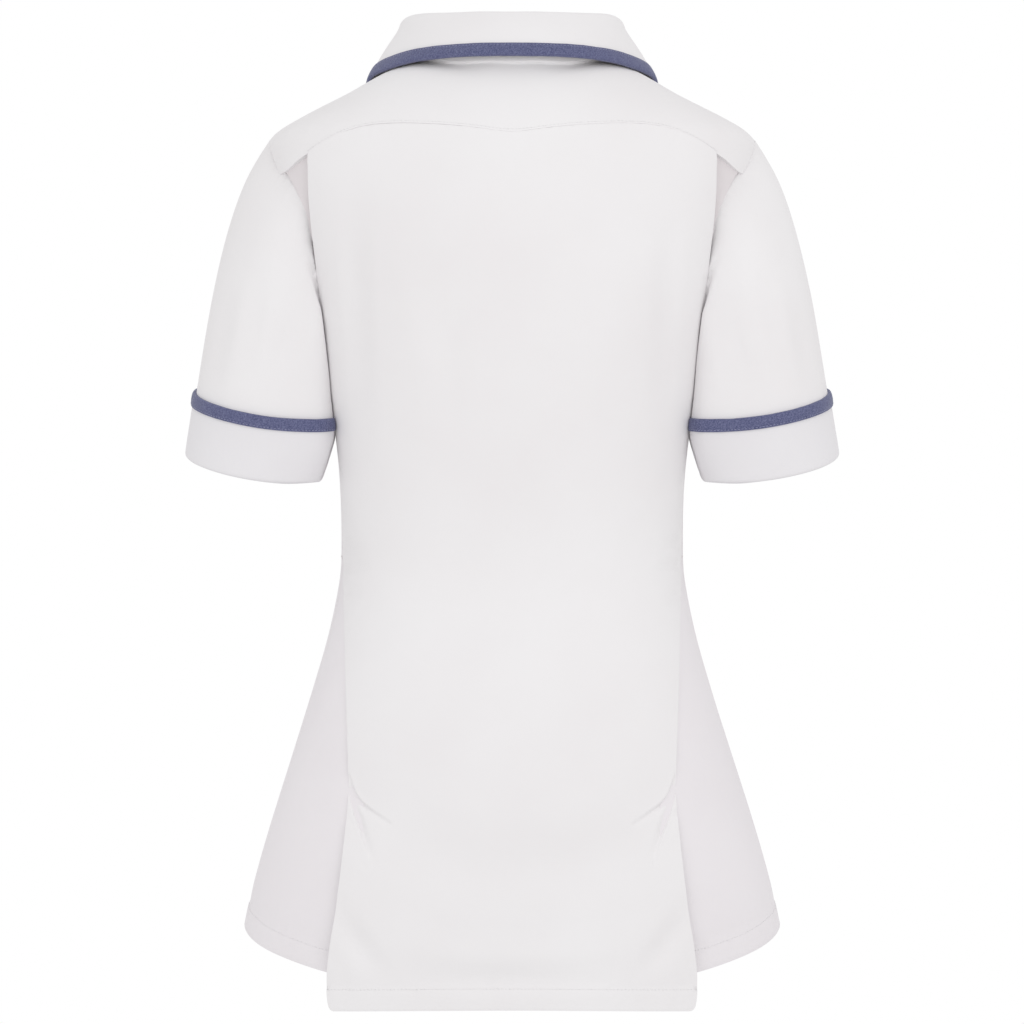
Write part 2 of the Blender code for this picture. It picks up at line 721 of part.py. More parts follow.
def front_grid(lap_lift):
    """Points of a front, its front edge moved out by lap_lift."""
    rows = []
    for row in front_rows():
        line = []
        for angle, z in row:
            x = torso_surface(angle, z).x
            lift = lap_lift * (1 - smooth((x - 2 * LAP_HALF_WIDTH) / (2 * LAP_HALF_WIDTH)))
            line.append(torso(angle, z, lift))
        rows.append(line)
    rows[-1] = pull_back(rows[-1], rows[-2], SEAM_GAP)
    first_armhole_row = len(FRONT_ROWS) + 1
    for row in rows[first_armhole_row:]:
        row[-1] = row[-1] + (row[-2] - row[-1]).normalized() * ARMHOLE_EASE
    for row in rows[1:first_armhole_row]:
        row[-1] = row[-1] + (row[-2] - row[-1]).normalized() * SEAM_GAP / 2
    return rows


FRONT_RIGHT_GRID = mirrored(front_grid(LAP_LIFT))
cloth("front_left", front_grid(0.0))
cloth("front_right", FRONT_RIGHT_GRID)


# Collar: one piece folded over, its stand on the neckline and its fall outside
def neckline_stations():
    """Seam point and outward normal at each station of the neckline."""
    stations = []
    for p in BACK_NECK:
        seam = height_over(p.x, p.y)
        dx = height_over(p.x + PLAN_STEP, p.y).z - seam.z
        dy = height_over(p.x, p.y + PLAN_STEP).z - seam.z
        stations.append((seam, Vector((-dx, -dy, PLAN_STEP)).normalized()))
    for p in reversed(FRONT_NECK[COLLAR_FIRST_FRONT_POINT:-1]):
        angle = angle_at(p.x, p.z)
        stations.append((torso(angle, p.z), torso_normal(angle, p.z)))
    return stations


def collar_section(seam, fold, edge, turn):
    """Points of one section: up the stand, round the fold and down the fall."""
    up = (fold - seam).normalized()
    over = edge - fold
    out = (over - over.dot(up) * up).normalized()
    centre = fold - turn * up
    points = [seam, blend(seam, centre - turn * out, 0.5)]
    for swing in (180, 135, 90, 45, 0):
        angle = math.radians(swing)
        points.append(centre + turn * (math.cos(angle) * out + math.sin(angle) * up))
    start = points[-1]
    fall = edge - start
    bow_shares = [share * (1 - BAND_WIDTH / fall.length) for share in COLLAR_FALL_SHARES]
    for share in bow_shares + [1.0]:
        crown = COLLAR_CROWN * fall.length * math.sin(math.pi * share)
        bow = out.cross(fall).cross(fall).normalized()
        if bow.dot(out) < 0:
            bow = -bow
        points.append(start + share * fall + crown * bow)
    return points


def collar_grid():
    """Rows across the collar's sections, each running from the centre back to the front end."""
    stations = neckline_stations()
    order = list(range(len(stations)))
    columns = []
    for j in range(COLLAR_COLUMNS + 1):
        at = (len(stations) - 1) * j / COLLAR_COLUMNS
        seam = Vector([curve_at(order, [s[0][i] for s in stations], at) for i in range(3)])
        normal = Vector([curve_at(order, [s[1][i] for s in stations], at) for i in range(3)]).normalized()
        sizes = [curve_at(order, [row[i] for row in COLLAR], at) for i in range(len(COLLAR[0]))]
        value = CollarSection(*sizes)
        fold = Vector((value.fold_x, value.fold_y, value.fold_z))
        edge = Vector((value.edge_x, value.edge_y, value.edge_z))
        over_lap = smooth((at - order[-1] + COLLAR_LAP_STATIONS) / COLLAR_LAP_STATIONS)
        lift = COLLAR_SEAM_LIFT + LAP_LIFT * over_lap
        section = collar_section(seam + lift * normal, fold, edge, value.turn)
        if j == 0:
            for point in section:
                point.x = 0.0
        columns.append(section)
    return [list(row) for row in zip(*columns)]


COLLAR_GRID = collar_grid()
cloth("collar", COLLAR_GRID, mirror=True)


def outside_strip(grid, rows):
    """Strip on the outer side of some rows of a grid, one band thickness clear of the cloth."""
    lift = WALL / 2 + LAYER_GAP + BAND_WALL / 2
    facing = normals(grid)
    strip = [[p + lift * n for p, n in zip(grid[i], facing[i])] for i in rows]
    inside = [[p - lift * n for p, n in zip(grid[i], facing[i])] for i in rows]
    centre = sum((p for row in grid for p in row), Vector()) / (len(grid) * len(grid[0]))
    if (strip[0][0] - centre).length < (inside[0][0] - centre).length:
        return inside
    return strip


collar_strip = outside_strip(COLLAR_GRID, (len(COLLAR_GRID) - 2, len(COLLAR_GRID) - 1))
for line in collar_strip:
    line[0].x = 0.0
cloth("collar_band", collar_strip, wall=BAND_WALL, mirror=True, colour=BLUE)


# Sleeves: a tube from the armhole to the open end, with the end turned up as a cuff
def armhole_point(turn):
    """Point, outward normal and way across the armhole, at a turn from the shoulder tip round the back."""
    def place(at):
        at = at % 360.0
        if at <= 180.0:
            return armhole(ARMHOLE_BACK, at / 180.0)
        return armhole(ARMHOLE_FRONT, (360.0 - at) / 180.0)

    angle, z = place(turn)
    point = torso(angle, z)
    normal = torso_normal(angle, z)
    ahead = torso(*place(turn + 4.0)) - torso(*place(turn - 4.0))
    across = ahead.cross(normal).normalized()
    middle = torso(*place(0.0)).lerp(torso(*place(180.0)), 0.5)
    if across.dot(middle - point) < 0:
        across = -across
    return point, normal, across


def sleeve_end(turn):
    swing = math.radians(turn)
    reach = 2 / SLEEVE_END_POWER
    x = SLEEVE_END_HALF_WIDTH * signed_power(math.cos(swing), reach)
    y = SLEEVE_END_DEPTH * signed_power(math.sin(swing), reach)
    z = SLEEVE_END_SLOPE_ACROSS * x + SLEEVE_END_SLOPE_DEPTH * y
    return SLEEVE_END_CENTRE + Vector((x, y, z))


def sleeve_line(turn):
    """Points down the sleeve from the armhole to its end, at one turn round it."""
    point, normal, across = armhole_point(turn)
    low = smooth((1 - math.cos(math.radians(turn))) / 2)
    start = point + across * SLEEVE_HEAD_CLEAR + normal * blend(SLEEVE_TOP_LIFT, SLEEVE_UNDERARM_LIFT, low)
    end = sleeve_end(turn)
    folded = turn if turn <= 180.0 else 360.0 - turn
    side = 1.0 if turn <= 180.0 else -1.0
    way = Vector((
        column(SLEEVE_STARTS, "turn", "out", folded),
        side * column(SLEEVE_STARTS, "turn", "along", folded),
        column(SLEEVE_STARTS, "turn", "down", folded),
    )).normalized()
    span = (end - start).length
    leave = way * span * column(SLEEVE_STARTS, "turn", "pull", folded)
    arrive = SLEEVE_END_DIRECTION.normalized() * span * SLEEVE_END_PULL
    points = []
    for k in range(SLEEVE_LINE_STEPS + 1):
        t = k / SLEEVE_LINE_STEPS
        points.append(
            (2 * t**3 - 3 * t * t + 1) * start
            + (t**3 - 2 * t * t + t) * leave
            + (3 * t * t - 2 * t**3) * end
            + (t**3 - t * t) * arrive
        )
    return points


TURNS = [360.0 * j / SLEEVE_COLUMNS for j in range(SLEEVE_COLUMNS)]
SLEEVE_LINES = {turn: sleeve_line(turn) for turn in TURNS}


def line_length(points):
    return sum((b - a).length for a, b in zip(points, points[1:]))


def above_end(turn, height):
    """Point of the sleeve a height above its end, or below it where height is negative."""
    points = SLEEVE_LINES[turn]
    if height < 0:
        return points[-1] - height * SLEEVE_END_DIRECTION.normalized()
    return along(points, 1 - height / line_length(points))


def sleeve_rings(heights_and_lifts):
    """Rings round the sleeve, each at a height above the end and moved out by a lift."""
    rings = []
    for height, lift in heights_and_lifts:
        ring = []
        for j, turn in enumerate(TURNS):
            before = above_end(TURNS[j - 1], height)
            after = above_end(TURNS[(j + 1) % SLEEVE_COLUMNS], height)
            rise = above_end(turn, height + PLAN_STEP) - above_end(turn, height - PLAN_STEP)
            normal = (after - before).cross(rise).normalized()
            if normal.dot(above_end(turn, height) - SLEEVE_END_CENTRE) < 0:
                normal = -normal
            ring.append(above_end(turn, height) + lift * normal)
        rings.append(ring)
    return rings


def sleeve_grid():
    """Rings from the armhole down to just inside the cuff's fold."""
    rows = []
    for i in range(SLEEVE_ROWS + 1):
        row = []
        for turn in TURNS:
            points = SLEEVE_LINES[turn]
            row.append(along(points, (1 - SLEEVE_END_CLEAR / line_length(points)) * i / SLEEVE_ROWS))
        rows.append(row)
    return rows


pair("sleeve", sleeve_grid(), closed=True)

Fold = namedtuple("Fold", "height lift")
CUFF_FOLD = (
    Fold(CUFF_TUCK, -CUFF_LIFT),
    Fold(0.0020, -CUFF_LIFT),
    Fold(-0.0002, -0.8 * CUFF_LIFT),
    Fold(-0.0010, 0.0),
    Fold(-0.0002, 0.8 * CUFF_LIFT),
    Fold(0.0020, CUFF_LIFT),
    Fold(0.0210, CUFF_LIFT),
    Fold(CUFF_HEIGHT - BAND_WIDTH, CUFF_LIFT),
    Fold(CUFF_HEIGHT, CUFF_LIFT),
)
pair("cuff", sleeve_rings(CUFF_FOLD), closed=True)

CUFF_BAND_LIFT = CUFF_LIFT + WALL / 2 + LAYER_GAP + BAND_WALL / 2
CUFF_BAND = (
    Fold(CUFF_HEIGHT - BAND_WIDTH, CUFF_BAND_LIFT),
    Fold(CUFF_HEIGHT, CUFF_BAND_LIFT),
)
pair("cuff_band", sleeve_rings(CUFF_BAND), closed=True, wall=BAND_WALL, colour=BLUE)


# Buttons down the centre front, on the right front
def front_edge_place(z):
    """Point and outward normal on the centre line of the right front at a height."""
    line = [row[1] for row in FRONT_RIGHT_GRID[: len(FRONT_ROWS) + 5]]
    k = 0
    while line[k + 1].z < z:
        k += 1
    way = line[k + 1] - line[k]
    point = line[k] + way * (z - line[k].z) / way.z
    point.x = 0.0
    return point, Vector((0.0, -way.z, way.y)).normalized()


def button(index):
    """One button, seated on the right front's lap."""
    place, normal = front_edge_place(BUTTON_TOP_Z - BUTTON_PITCH * index)
    lift = WALL / 2 + LAYER_GAP + BUTTON_HEIGHT / 2
    bpy.ops.mesh.primitive_cylinder_add(vertices=18, radius=BUTTON_RADIUS, depth=BUTTON_HEIGHT)
    piece = bpy.context.object
    piece.name = f"button_{index + 1}"
    piece.data.materials.append(material(piece.name, BUTTON_WHITE, BUTTON_ROUGHNESS))
    edge = piece.modifiers.new("rim", "BEVEL")
    edge.width = BUTTON_RIM
    edge.segments = 1
    edge.limit_method = "ANGLE"
    turn = normal.to_track_quat("Z", "Y").to_matrix().to_4x4()
    piece.matrix_world = Matrix.Translation(place + lift * normal) @ turn
    for collection in piece.users_collection:
        collection.objects.unlink(piece)
    PIECES.objects.link(piece)


for index in range(BUTTON_COUNT):
    button(index)
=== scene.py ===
"""Dressed view of a women's medical tunic: white twill filled out as worn, blue binding, sewing, buttons.

Metres, +Z up. The wearer faces -Y, so the camera stands on the +Y side and sees the back.
Each cloth piece is its solid's own wall, refined, creased and given its thickness again.
"""

import logging
import math
from dataclasses import dataclass, field
from enum import Enum
from typing import Callable, Iterable, NamedTuple, Sequence

import bmesh
import bpy
import numpy as np
from mathutils import Matrix, Vector, noise
from mathutils.bvhtree import BVHTree


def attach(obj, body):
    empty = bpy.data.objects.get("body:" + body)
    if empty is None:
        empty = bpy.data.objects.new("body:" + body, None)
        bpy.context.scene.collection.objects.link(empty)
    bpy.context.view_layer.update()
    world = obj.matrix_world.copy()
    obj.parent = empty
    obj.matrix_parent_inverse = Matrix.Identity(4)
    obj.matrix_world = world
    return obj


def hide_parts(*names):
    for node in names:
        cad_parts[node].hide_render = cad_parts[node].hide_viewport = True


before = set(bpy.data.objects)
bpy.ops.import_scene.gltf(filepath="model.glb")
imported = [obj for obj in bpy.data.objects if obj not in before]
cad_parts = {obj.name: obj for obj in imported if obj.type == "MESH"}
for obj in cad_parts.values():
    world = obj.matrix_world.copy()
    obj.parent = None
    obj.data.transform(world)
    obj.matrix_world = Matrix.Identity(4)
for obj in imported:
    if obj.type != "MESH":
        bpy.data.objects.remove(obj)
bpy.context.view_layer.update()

BODY = "root"
CLOTH_WALL = 0.0012
BAND_WALL = 0.0010
BAND_WIDTH = 0.0096
MERGE_WITHIN = 0.00001
WALL_CORNER = 65.0
SLEEVES_FROM = 0.16
ROUNDING = 0.36
CORNER_ANGLE = math.radians(55)
SMOOTH_ANGLE = math.radians(50)
ALLOWANCE_STEP = 0.0008
STEEPEST_HEM = 0.45
INSET_STEP = 0.0025
TINY = 1e-12

logging.basicConfig(level=logging.INFO, format="%(message)s")
log = logging.getLogger("tunic")

Array = np.ndarray
Piece = bpy.types.Object
Socket = bpy.types.NodeSocket
Test = Callable[[Array], Array]
Place = tuple[float, float, float]
Colour = tuple[float, float, float]


class Grain(Enum):
    """How a piece's weave runs: round the body, or round one of the sleeves."""

    BODY = "body"
    LEFT_SLEEVE = "left_sleeve"
    RIGHT_SLEEVE = "right_sleeve"


class Side(Enum):
    """The wearer's left, at +X, or right, at -X."""

    LEFT = "left"
    RIGHT = "right"

    @property
    def sign(self) -> float:
        """Sign of X on this side."""
        return 1.0 if self is Side.LEFT else -1.0

    def place(self, x: float, y: float, z: float) -> Place:
        """Place on this side, from one given for the left."""
        return (self.sign * x, y, z)


# Short sums


def share_of(values: Array) -> Array:
    """Values held between 0 and 1."""
    return np.clip(values, 0.0, 1.0)


def eased(values: Array) -> Array:
    """Values held between 0 and 1, with a soft start and end."""
    share = share_of(values)
    return share * share * (3 - 2 * share)


def unit(rows: Array) -> Array:
    """Directions scaled to length 1."""
    return rows / (np.linalg.norm(rows, axis=1)[:, None] + TINY)


def lengths_along(line: Array) -> Array:
    """Length along a line at each of its points."""
    return np.concatenate([[0.0], np.cumsum(np.linalg.norm(np.diff(line, axis=0), axis=1))])


def longest_stretch(passed: Array) -> Array:
    """Indices of the longest unbroken stretch that passes a test."""
    stretches = np.split(np.arange(len(passed)), np.where(np.diff(passed.astype(int)) != 0)[0] + 1)
    return max((stretch for stretch in stretches if passed[stretch[0]]), key=len)


def seed_of(name: str, span: int) -> float:
    """A seed worked out from a name, so that no two pieces wave alike."""
    return float(sum(ord(letter) for letter in name) % span)


# Tools for working on a mesh


def switch(mode: str) -> None:
    """Put the active piece in edit mode or object mode."""
    bpy.ops.object.mode_set(mode=mode)


def pick(action: str) -> None:
    """Select or deselect all of the mesh being edited."""
    bpy.ops.mesh.select_all(action=action)


def add_piece(name: str, mesh: bpy.types.Mesh) -> Piece:
    """A new object with a mesh, put into the scene."""
    piece = bpy.data.objects.new(name, mesh)
    bpy.context.scene.collection.objects.link(piece)
    return piece


def discard(piece: Piece) -> None:
    """Delete an object and its mesh."""
    mesh = piece.data
    bpy.data.objects.remove(piece, do_unlink=True)
    bpy.data.meshes.remove(mesh)


def tree_of(mesh: bpy.types.Mesh) -> BVHTree:
    """A search tree over a mesh's faces."""
    shape = bmesh.new()
    shape.from_mesh(mesh)
    tree = BVHTree.FromBMesh(shape)
    shape.free()
    return tree


def settle() -> None:
    """Leave edit mode and deselect everything."""
    if bpy.context.object and bpy.context.object.mode != "OBJECT":
        switch("OBJECT")
    bpy.ops.object.select_all(action="DESELECT")


def activate(piece: Piece) -> None:
    """Make a piece the only selected one, and active."""
    settle()
    piece.select_set(True)
    bpy.context.view_layer.objects.active = piece


def apply_modifier(piece: Piece, kind: str, **settings: object) -> None:
    """Add a modifier with its settings and apply it.

    Args:
        piece: The object to change.
        kind: Blender's name of the modifier's kind.
        settings: The modifier's own settings.
    """
    activate(piece)
    modifier = piece.modifiers.new(kind.lower(), kind)
    for name, value in settings.items():
        setattr(modifier, name, value)
    bpy.ops.object.modifier_apply(modifier=modifier.name)


def refine(piece: Piece, levels: int) -> None:
    """Subdivide an open cloth surface smoothly, keeping its corners."""
    if levels:
        apply_modifier(
            piece, "SUBSURF", levels=levels, render_levels=levels, boundary_smooth="PRESERVE_CORNERS",
            use_limit_surface=False,
        )


def refine_near(piece: Piece, lines: Iterable[Array], reach: float, cuts: int) -> None:
    """Divide the faces near some lines more finely, for sharp creases.

    Args:
        piece: The open surface.
        lines: The lines' points.
        reach: How far from a line a face's middle may lie.
        cuts: How many cuts each edge gets.
    """
    middles = np.array([polygon.center[:] for polygon in piece.data.polygons])
    chosen = np.zeros(len(middles), dtype=bool)
    for line in lines:
        chosen |= nearest_on_line(middles, line)[0] < reach
    activate(piece)
    switch("EDIT")
    bpy.ops.mesh.select_mode(type="FACE")
    pick("DESELECT")
    switch("OBJECT")
    piece.data.polygons.foreach_set("select", chosen)
    switch("EDIT")
    bpy.ops.mesh.subdivide(number_cuts=cuts, smoothness=0.0)
    pick("DESELECT")
    switch("OBJECT")


def points_of(piece: Piece, what: str = "co") -> Array:
    """Vertex positions of a piece as an array, or another triple that its vertices have."""
    found = np.empty(len(piece.data.vertices) * 3)
    piece.data.vertices.foreach_get(what, found)
    return found.reshape(-1, 3)


def normals_of(piece: Piece) -> Array:
    """Vertex normals of a piece as an array."""
    return points_of(piece, "normal")


def set_points(piece: Piece, points: Array) -> None:
    """Move a piece's vertices to new positions."""
    piece.data.vertices.foreach_set("co", points.ravel())
    piece.data.update()


def wall_regions(mesh: bpy.types.Mesh, sharp: float) -> list[tuple[float, list[int]]]:
    """Regions of a closed cloth solid between its sharp edges.

    Args:
        mesh: The solid's mesh, with its doubles merged.
        sharp: Angle in degrees from which an edge parts two regions.

    Returns:
        Area and face indices of each region, the largest first.
    """
    shape = bmesh.new()
    shape.from_mesh(mesh)
    shape.faces.ensure_lookup_table()
    limit = math.radians(sharp)
    seen: set[int] = set()
    regions = []
    for first in shape.faces:
        if first.index in seen:
            continue
        seen.add(first.index)
        stack = [first]
        members = []
        area = 0.0
        while stack:
            face = stack.pop()
            members.append(face.index)
            area += face.calc_area()
            for edge in face.edges:
                if len(edge.link_faces) != 2 or edge.calc_face_angle() > limit:
                    continue
                for other in edge.link_faces:
                    if other.index not in seen:
                        seen.add(other.index)
                        stack.append(other)
        regions.append((area, members))
    shape.free()
    return sorted(regions, key=lambda region: -region[0])


def open_wall(node: str, name: str) -> tuple[Piece, float]:
    """One wall of a cloth solid as an open surface of quads, facing outwards.

    Args:
        node: The solid's name.
        name: The new piece's name.

    Returns:
        The new object, and -1.0 where it is the outer wall or 1.0 where it is the inner one.
    """
    settle()
    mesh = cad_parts[node].data.copy()
    mesh.transform(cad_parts[node].matrix_world)
    mesh.materials.clear()
    piece = add_piece(name, mesh)
    activate(piece)
    bpy.ops.mesh.customdata_custom_splitnormals_clear()
    switch("EDIT")
    pick("SELECT")
    bpy.ops.mesh.remove_doubles(threshold=MERGE_WITHIN)
    pick("DESELECT")
    switch("OBJECT")
    largest = wall_regions(mesh, WALL_CORNER)[:2]
    kept = set(min(largest, key=lambda region: len(region[1]))[1])
    middle = points_of(piece).mean(axis=0)
    axis = Vector((middle[0] if abs(middle[0]) > SLEEVES_FROM else 0.0, 0.0, 0.0))
    facing = 0.0
    for polygon in mesh.polygons:
        polygon.select = polygon.index not in kept
        if polygon.index in kept:
            away = Vector((polygon.center.x - axis.x, polygon.center.y, 0.0))
            facing += polygon.area * polygon.normal.dot(away.normalized())
    switch("EDIT")
    bpy.ops.mesh.delete(type="FACE")
    pick("SELECT")
    bpy.ops.mesh.tris_convert_to_quads(face_threshold=math.pi / 2, shape_threshold=math.pi / 2)
    if facing < 0:
        bpy.ops.mesh.flip_normals()
    pick("DESELECT")
    switch("OBJECT")
    return piece, (-1.0 if facing > 0 else 1.0)


def edge_frames(piece: Piece, belongs: Test) -> tuple[list[int], dict[int, tuple[Vector, Vector]]]:
    """Open edges whose ends pass a test, and which way the cloth ends there.

    Args:
        piece: The open surface.
        belongs: Test of an array of points.

    Returns:
        The edges' indices, and for each of their vertices the direction out of the cloth and the normal.
    """
    shape = bmesh.new()
    shape.from_mesh(piece.data)
    shape.normal_update()
    verts = [vertex for vertex in shape.verts if vertex.is_boundary]
    passed = belongs(np.array([vertex.co[:] for vertex in verts]))
    chosen = {vertex.index for vertex, good in zip(verts, passed) if good}
    edges = []
    ways: dict[int, Vector] = {}
    ups: dict[int, Vector] = {}
    for edge in shape.edges:
        if not edge.is_boundary or not all(vertex.index in chosen for vertex in edge.verts):
            continue
        edges.append(edge.index)
        middle = (edge.verts[0].co + edge.verts[1].co) / 2
        along = (edge.verts[1].co - edge.verts[0].co).normalized()
        out = middle - edge.link_faces[0].calc_center_median()
        out = (out - along * out.dot(along)).normalized()
        for vertex in edge.verts:
            ways[vertex.index] = ways.get(vertex.index, Vector()) + out
            ups[vertex.index] = vertex.normal.copy()
    shape.free()
    return edges, {index: (way.normalized(), ups[index]) for index, way in ways.items()}


def spot_of(vertex: bpy.types.MeshVertex) -> tuple[float, ...]:
    """A vertex's place, rounded so that one extruded from it is found there."""
    return tuple(round(value, 7) for value in vertex.co)


def tuck_edge(piece: Piece, belongs: Test, drop: float, reach: float, close: float) -> None:
    """Give an open surface a seam allowance, which runs on under its neighbour's edge.

    Args:
        piece: The open surface.
        belongs: Test of which points of its edge get one.
        drop: How far under its own surface the allowance lies.
        reach: How far it runs on.
        close: How much of the gap at the seam the cloth itself fills.
    """
    edges, frames = edge_frames(piece, belongs)
    deeper = drop + math.copysign(ALLOWANCE_STEP, drop)
    steps = (
        (0.0, close), (drop * 0.6, close + 0.0002), (drop, close + 0.0006),
        (deeper, reach * 0.5), (deeper, reach),
    )
    starts = {index: piece.data.vertices[index].co.copy() for index in frames}
    keys = {index: index for index in frames}
    activate(piece)
    switch("EDIT")
    bpy.ops.mesh.select_mode(type="EDGE")
    pick("DESELECT")
    switch("OBJECT")
    for index in edges:
        piece.data.edges[index].select = True
    for down, out in steps:
        places = {spot_of(piece.data.vertices[at]): start for at, start in keys.items()}
        switch("EDIT")
        bpy.ops.mesh.extrude_edges_move(TRANSFORM_OT_translate={"value": (0, 0, 0)})
        switch("OBJECT")
        keys = {}
        for vertex in piece.data.vertices:
            if not vertex.select:
                continue
            start = places[spot_of(vertex)]
            way, up = frames[start]
            vertex.co = starts[start] + way * out - up * down
            keys[vertex.index] = start
    piece.data.update()


def give_wall(piece: Piece, wall: float, offset: float) -> None:
    """Turn an open surface into a closed wall with rounded edges.

    Args:
        piece: The open surface.
        wall: Thickness.
        offset: -1.0 to grow inwards, 1.0 to grow outwards, 0.0 for both.
    """
    apply_modifier(piece, "SOLIDIFY", thickness=wall, offset=offset, use_even_offset=False, use_rim=True)
    width = wall * ROUNDING
    apply_modifier(piece, "BEVEL", width=width, segments=2, limit_method="ANGLE", angle_limit=CORNER_ANGLE)
    activate(piece)
    bpy.ops.object.shade_smooth_by_angle(angle=SMOOTH_ANGLE)


# Lines over the cloth


def loops_of(piece: Piece) -> list[Array]:
    """Ordered points of each open edge loop of a surface."""
    shape = bmesh.new()
    shape.from_mesh(piece.data)
    left = {edge.index: edge for edge in shape.edges if edge.is_boundary}
    loops = []
    while left:
        _, edge = left.popitem()
        line = [edge.verts[0], edge.verts[1]]
        while True:
            ahead = next((e for e in line[-1].link_edges if e.index in left), None)
            if ahead is None:
                break
            del left[ahead.index]
            line.append(ahead.other_vert(line[-1]))
        if line[0] is line[-1]:
            line.pop()
        loops.append(np.array([vertex.co[:] for vertex in line]))
    shape.free()
    return loops


def edge_run(piece: Piece, belongs: Test) -> Array:
    """Longest unbroken stretch of a surface's open edge whose points all pass a test.

    Args:
        piece: The open surface.
        belongs: Test of an array of points, giving a truth value for each.

    Returns:
        The points in order.
    """
    best = np.empty((0, 3))
    for loop in loops_of(piece):
        passed = belongs(loop)
        if passed.all():
            run = np.vstack([loop, loop[:1]])
        elif passed.any():
            start = int(np.argmin(passed))
            run = np.roll(loop, -start, axis=0)[longest_stretch(np.roll(passed, -start))]
        else:
            continue
        if len(run) > len(best):
            best = run
    return best


def level_run(piece: Piece, belongs: Test) -> Array:
    """Longest stretch of an open edge that passes a test and runs nearly level: a hem without its corners."""
    run = edge_run(piece, belongs)
    ahead = headings(smoothed(run, 3))
    return run[longest_stretch(np.abs(ahead[:, 2]) < STEEPEST_HEM)]


def is_ring(line: Array) -> bool:
    """True where a line's last point is its first."""
    return bool(np.allclose(line[0], line[-1], atol=1e-7))


def even_points(line: Array, pitch: float, ends: bool = False) -> Array:
    """Points a fixed pitch apart along a line.

    Args:
        line: The line's points.
        pitch: Distance from one to the next.
        ends: True to start and end at the line's own ends, False to keep half a pitch inside them.

    Returns:
        The points.
    """
    lengths = lengths_along(line)
    count = max(int(round(lengths[-1] / pitch)), 2)
    margin = 0.0 if ends else lengths[-1] / count / 2
    at = np.linspace(margin, lengths[-1] - margin, count + 1 if ends else count)
    return np.stack([np.interp(at, lengths, line[:, k]) for k in range(3)], axis=1)


def smoothed(line: Array, passes: int = 6) -> Array:
    """A line with its small corners eased, the ends of an open one kept."""
    eased = line.copy()
    ring = is_ring(line)
    for _ in range(passes):
        if ring:
            last = eased[-2].copy()
            first = eased[1].copy()
        eased[1:-1] = (eased[:-2] + 2 * eased[1:-1] + eased[2:]) / 4
        if ring:
            eased[0] = eased[-1] = (last + 2 * eased[0] + first) / 4
    return eased


def headings(line: Array) -> Array:
    """Unit direction of a line at each of its points."""
    ahead = np.gradient(line, axis=0)
    if is_ring(line):
        ahead[0] = ahead[-1] = line[1] - line[-2]
    return unit(ahead)


class ClothSurface:
    """A snapshot of a piece's surface, on which lines are laid."""

    def __init__(self, piece: Piece, lift: float = 0.0) -> None:
        """Read the piece's faces as they are now.

        Args:
            piece: The surface to read.
            lift: How far the finished wall's outside stands off this surface.
        """
        self.tree = tree_of(piece.data)
        self.lift = lift

    def lay(self, line: Array) -> tuple[Array, Array]:
        """Nearest points of the surface to a line's points, with the normals there.

        Args:
            line: Points near the surface.

        Returns:
            Points and normals.
        """
        found = [self.tree.find_nearest(Vector(point))[:2] for point in line]
        return np.array([place[:] for place, _ in found]), np.array([up[:] for _, up in found])

    def straight_behind(self, points: Array) -> Array:
        """Places on the surface straight before or behind some points, on their own side of the wearer."""
        laid = []
        for x, y, z in points:
            side = 1.0 if y > 0 else -1.0
            hit, _, _, _ = self.tree.ray_cast(Vector((x, side * 0.5, z)), Vector((0, -side, 0)))
            laid.append(hit if hit is not None else self.tree.find_nearest(Vector((x, y, z)))[0])
        return np.array([place[:] for place in laid])

    def rows(self, line: Array, distances: Sequence[float]) -> list[Array]:
        """Copies of the surface's edge, moved in over the surface.

        Args:
            line: Points along the edge.
            distances: How far each copy is moved in, the nearest first.

        Returns:
            The copies, point for point.
        """
        current = smoothed(line)
        reached = 0.0
        sign = 0.0
        made = []
        for distance in distances:
            while distance - reached > 1e-9:
                step = min(INSET_STEP, distance - reached)
                _, ups = self.lay(current)
                across = unit(np.cross(ups, headings(current)))
                if not sign:
                    moved = [self.lay(current + s * across * step)[0] - current for s in (1, -1)]
                    gains = [np.linalg.norm(way, axis=1).mean() for way in moved]
                    sign = 1.0 if gains[0] > gains[1] else -1.0
                current = smoothed(self.lay(current + sign * across * step)[0], 2)
                reached += step
            made.append(current.copy())
        return made

    def inset(self, line: Array, distance: float) -> Array:
        """The surface's edge, moved in over the surface by a distance."""
        return self.rows(line, (distance,))[0]


def run_on(line: Array, surface: ClothSurface, reach: float) -> Array:
    """A line led on straight at both its ends, as far as the cloth goes.

    Args:
        line: The line's points.
        surface: The cloth's surface.
        reach: How far to lead it on at most.

    Returns:
        The longer line.
    """
    parts = [line]
    steps = np.arange(0.001, reach, 0.001)[:, None]
    for end, before in ((0, 6), (-1, -7)):
        way = line[end] - line[before]
        ahead = line[end] + steps * way / np.linalg.norm(way)
        laid = surface.lay(ahead)[0]
        laid = laid[np.linalg.norm(laid - ahead, axis=1) < CLOTH_WALL]
        if end == 0:
            parts.insert(0, laid[::-1])
        else:
            parts.append(laid)
    return np.vstack(parts)


class Beside:
    """Test of which points lie beside one of some CAD nodes."""

    def __init__(self, nodes: Sequence[str], reach: float) -> None:
        """Read the nodes' faces.

        Args:
            nodes: Their names.
            reach: How near a point has to be.
        """
        self.reach = reach
        self.trees = [tree_of(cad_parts[node].data) for node in nodes]

    def __call__(self, points: Array) -> Array:
        """Truth value for each point."""
        found = [
            any(tree.find_nearest(Vector(point), self.reach)[0] is not None for tree in self.trees)
            for point in points
        ]
        return np.array(found)


# Creases and puckers


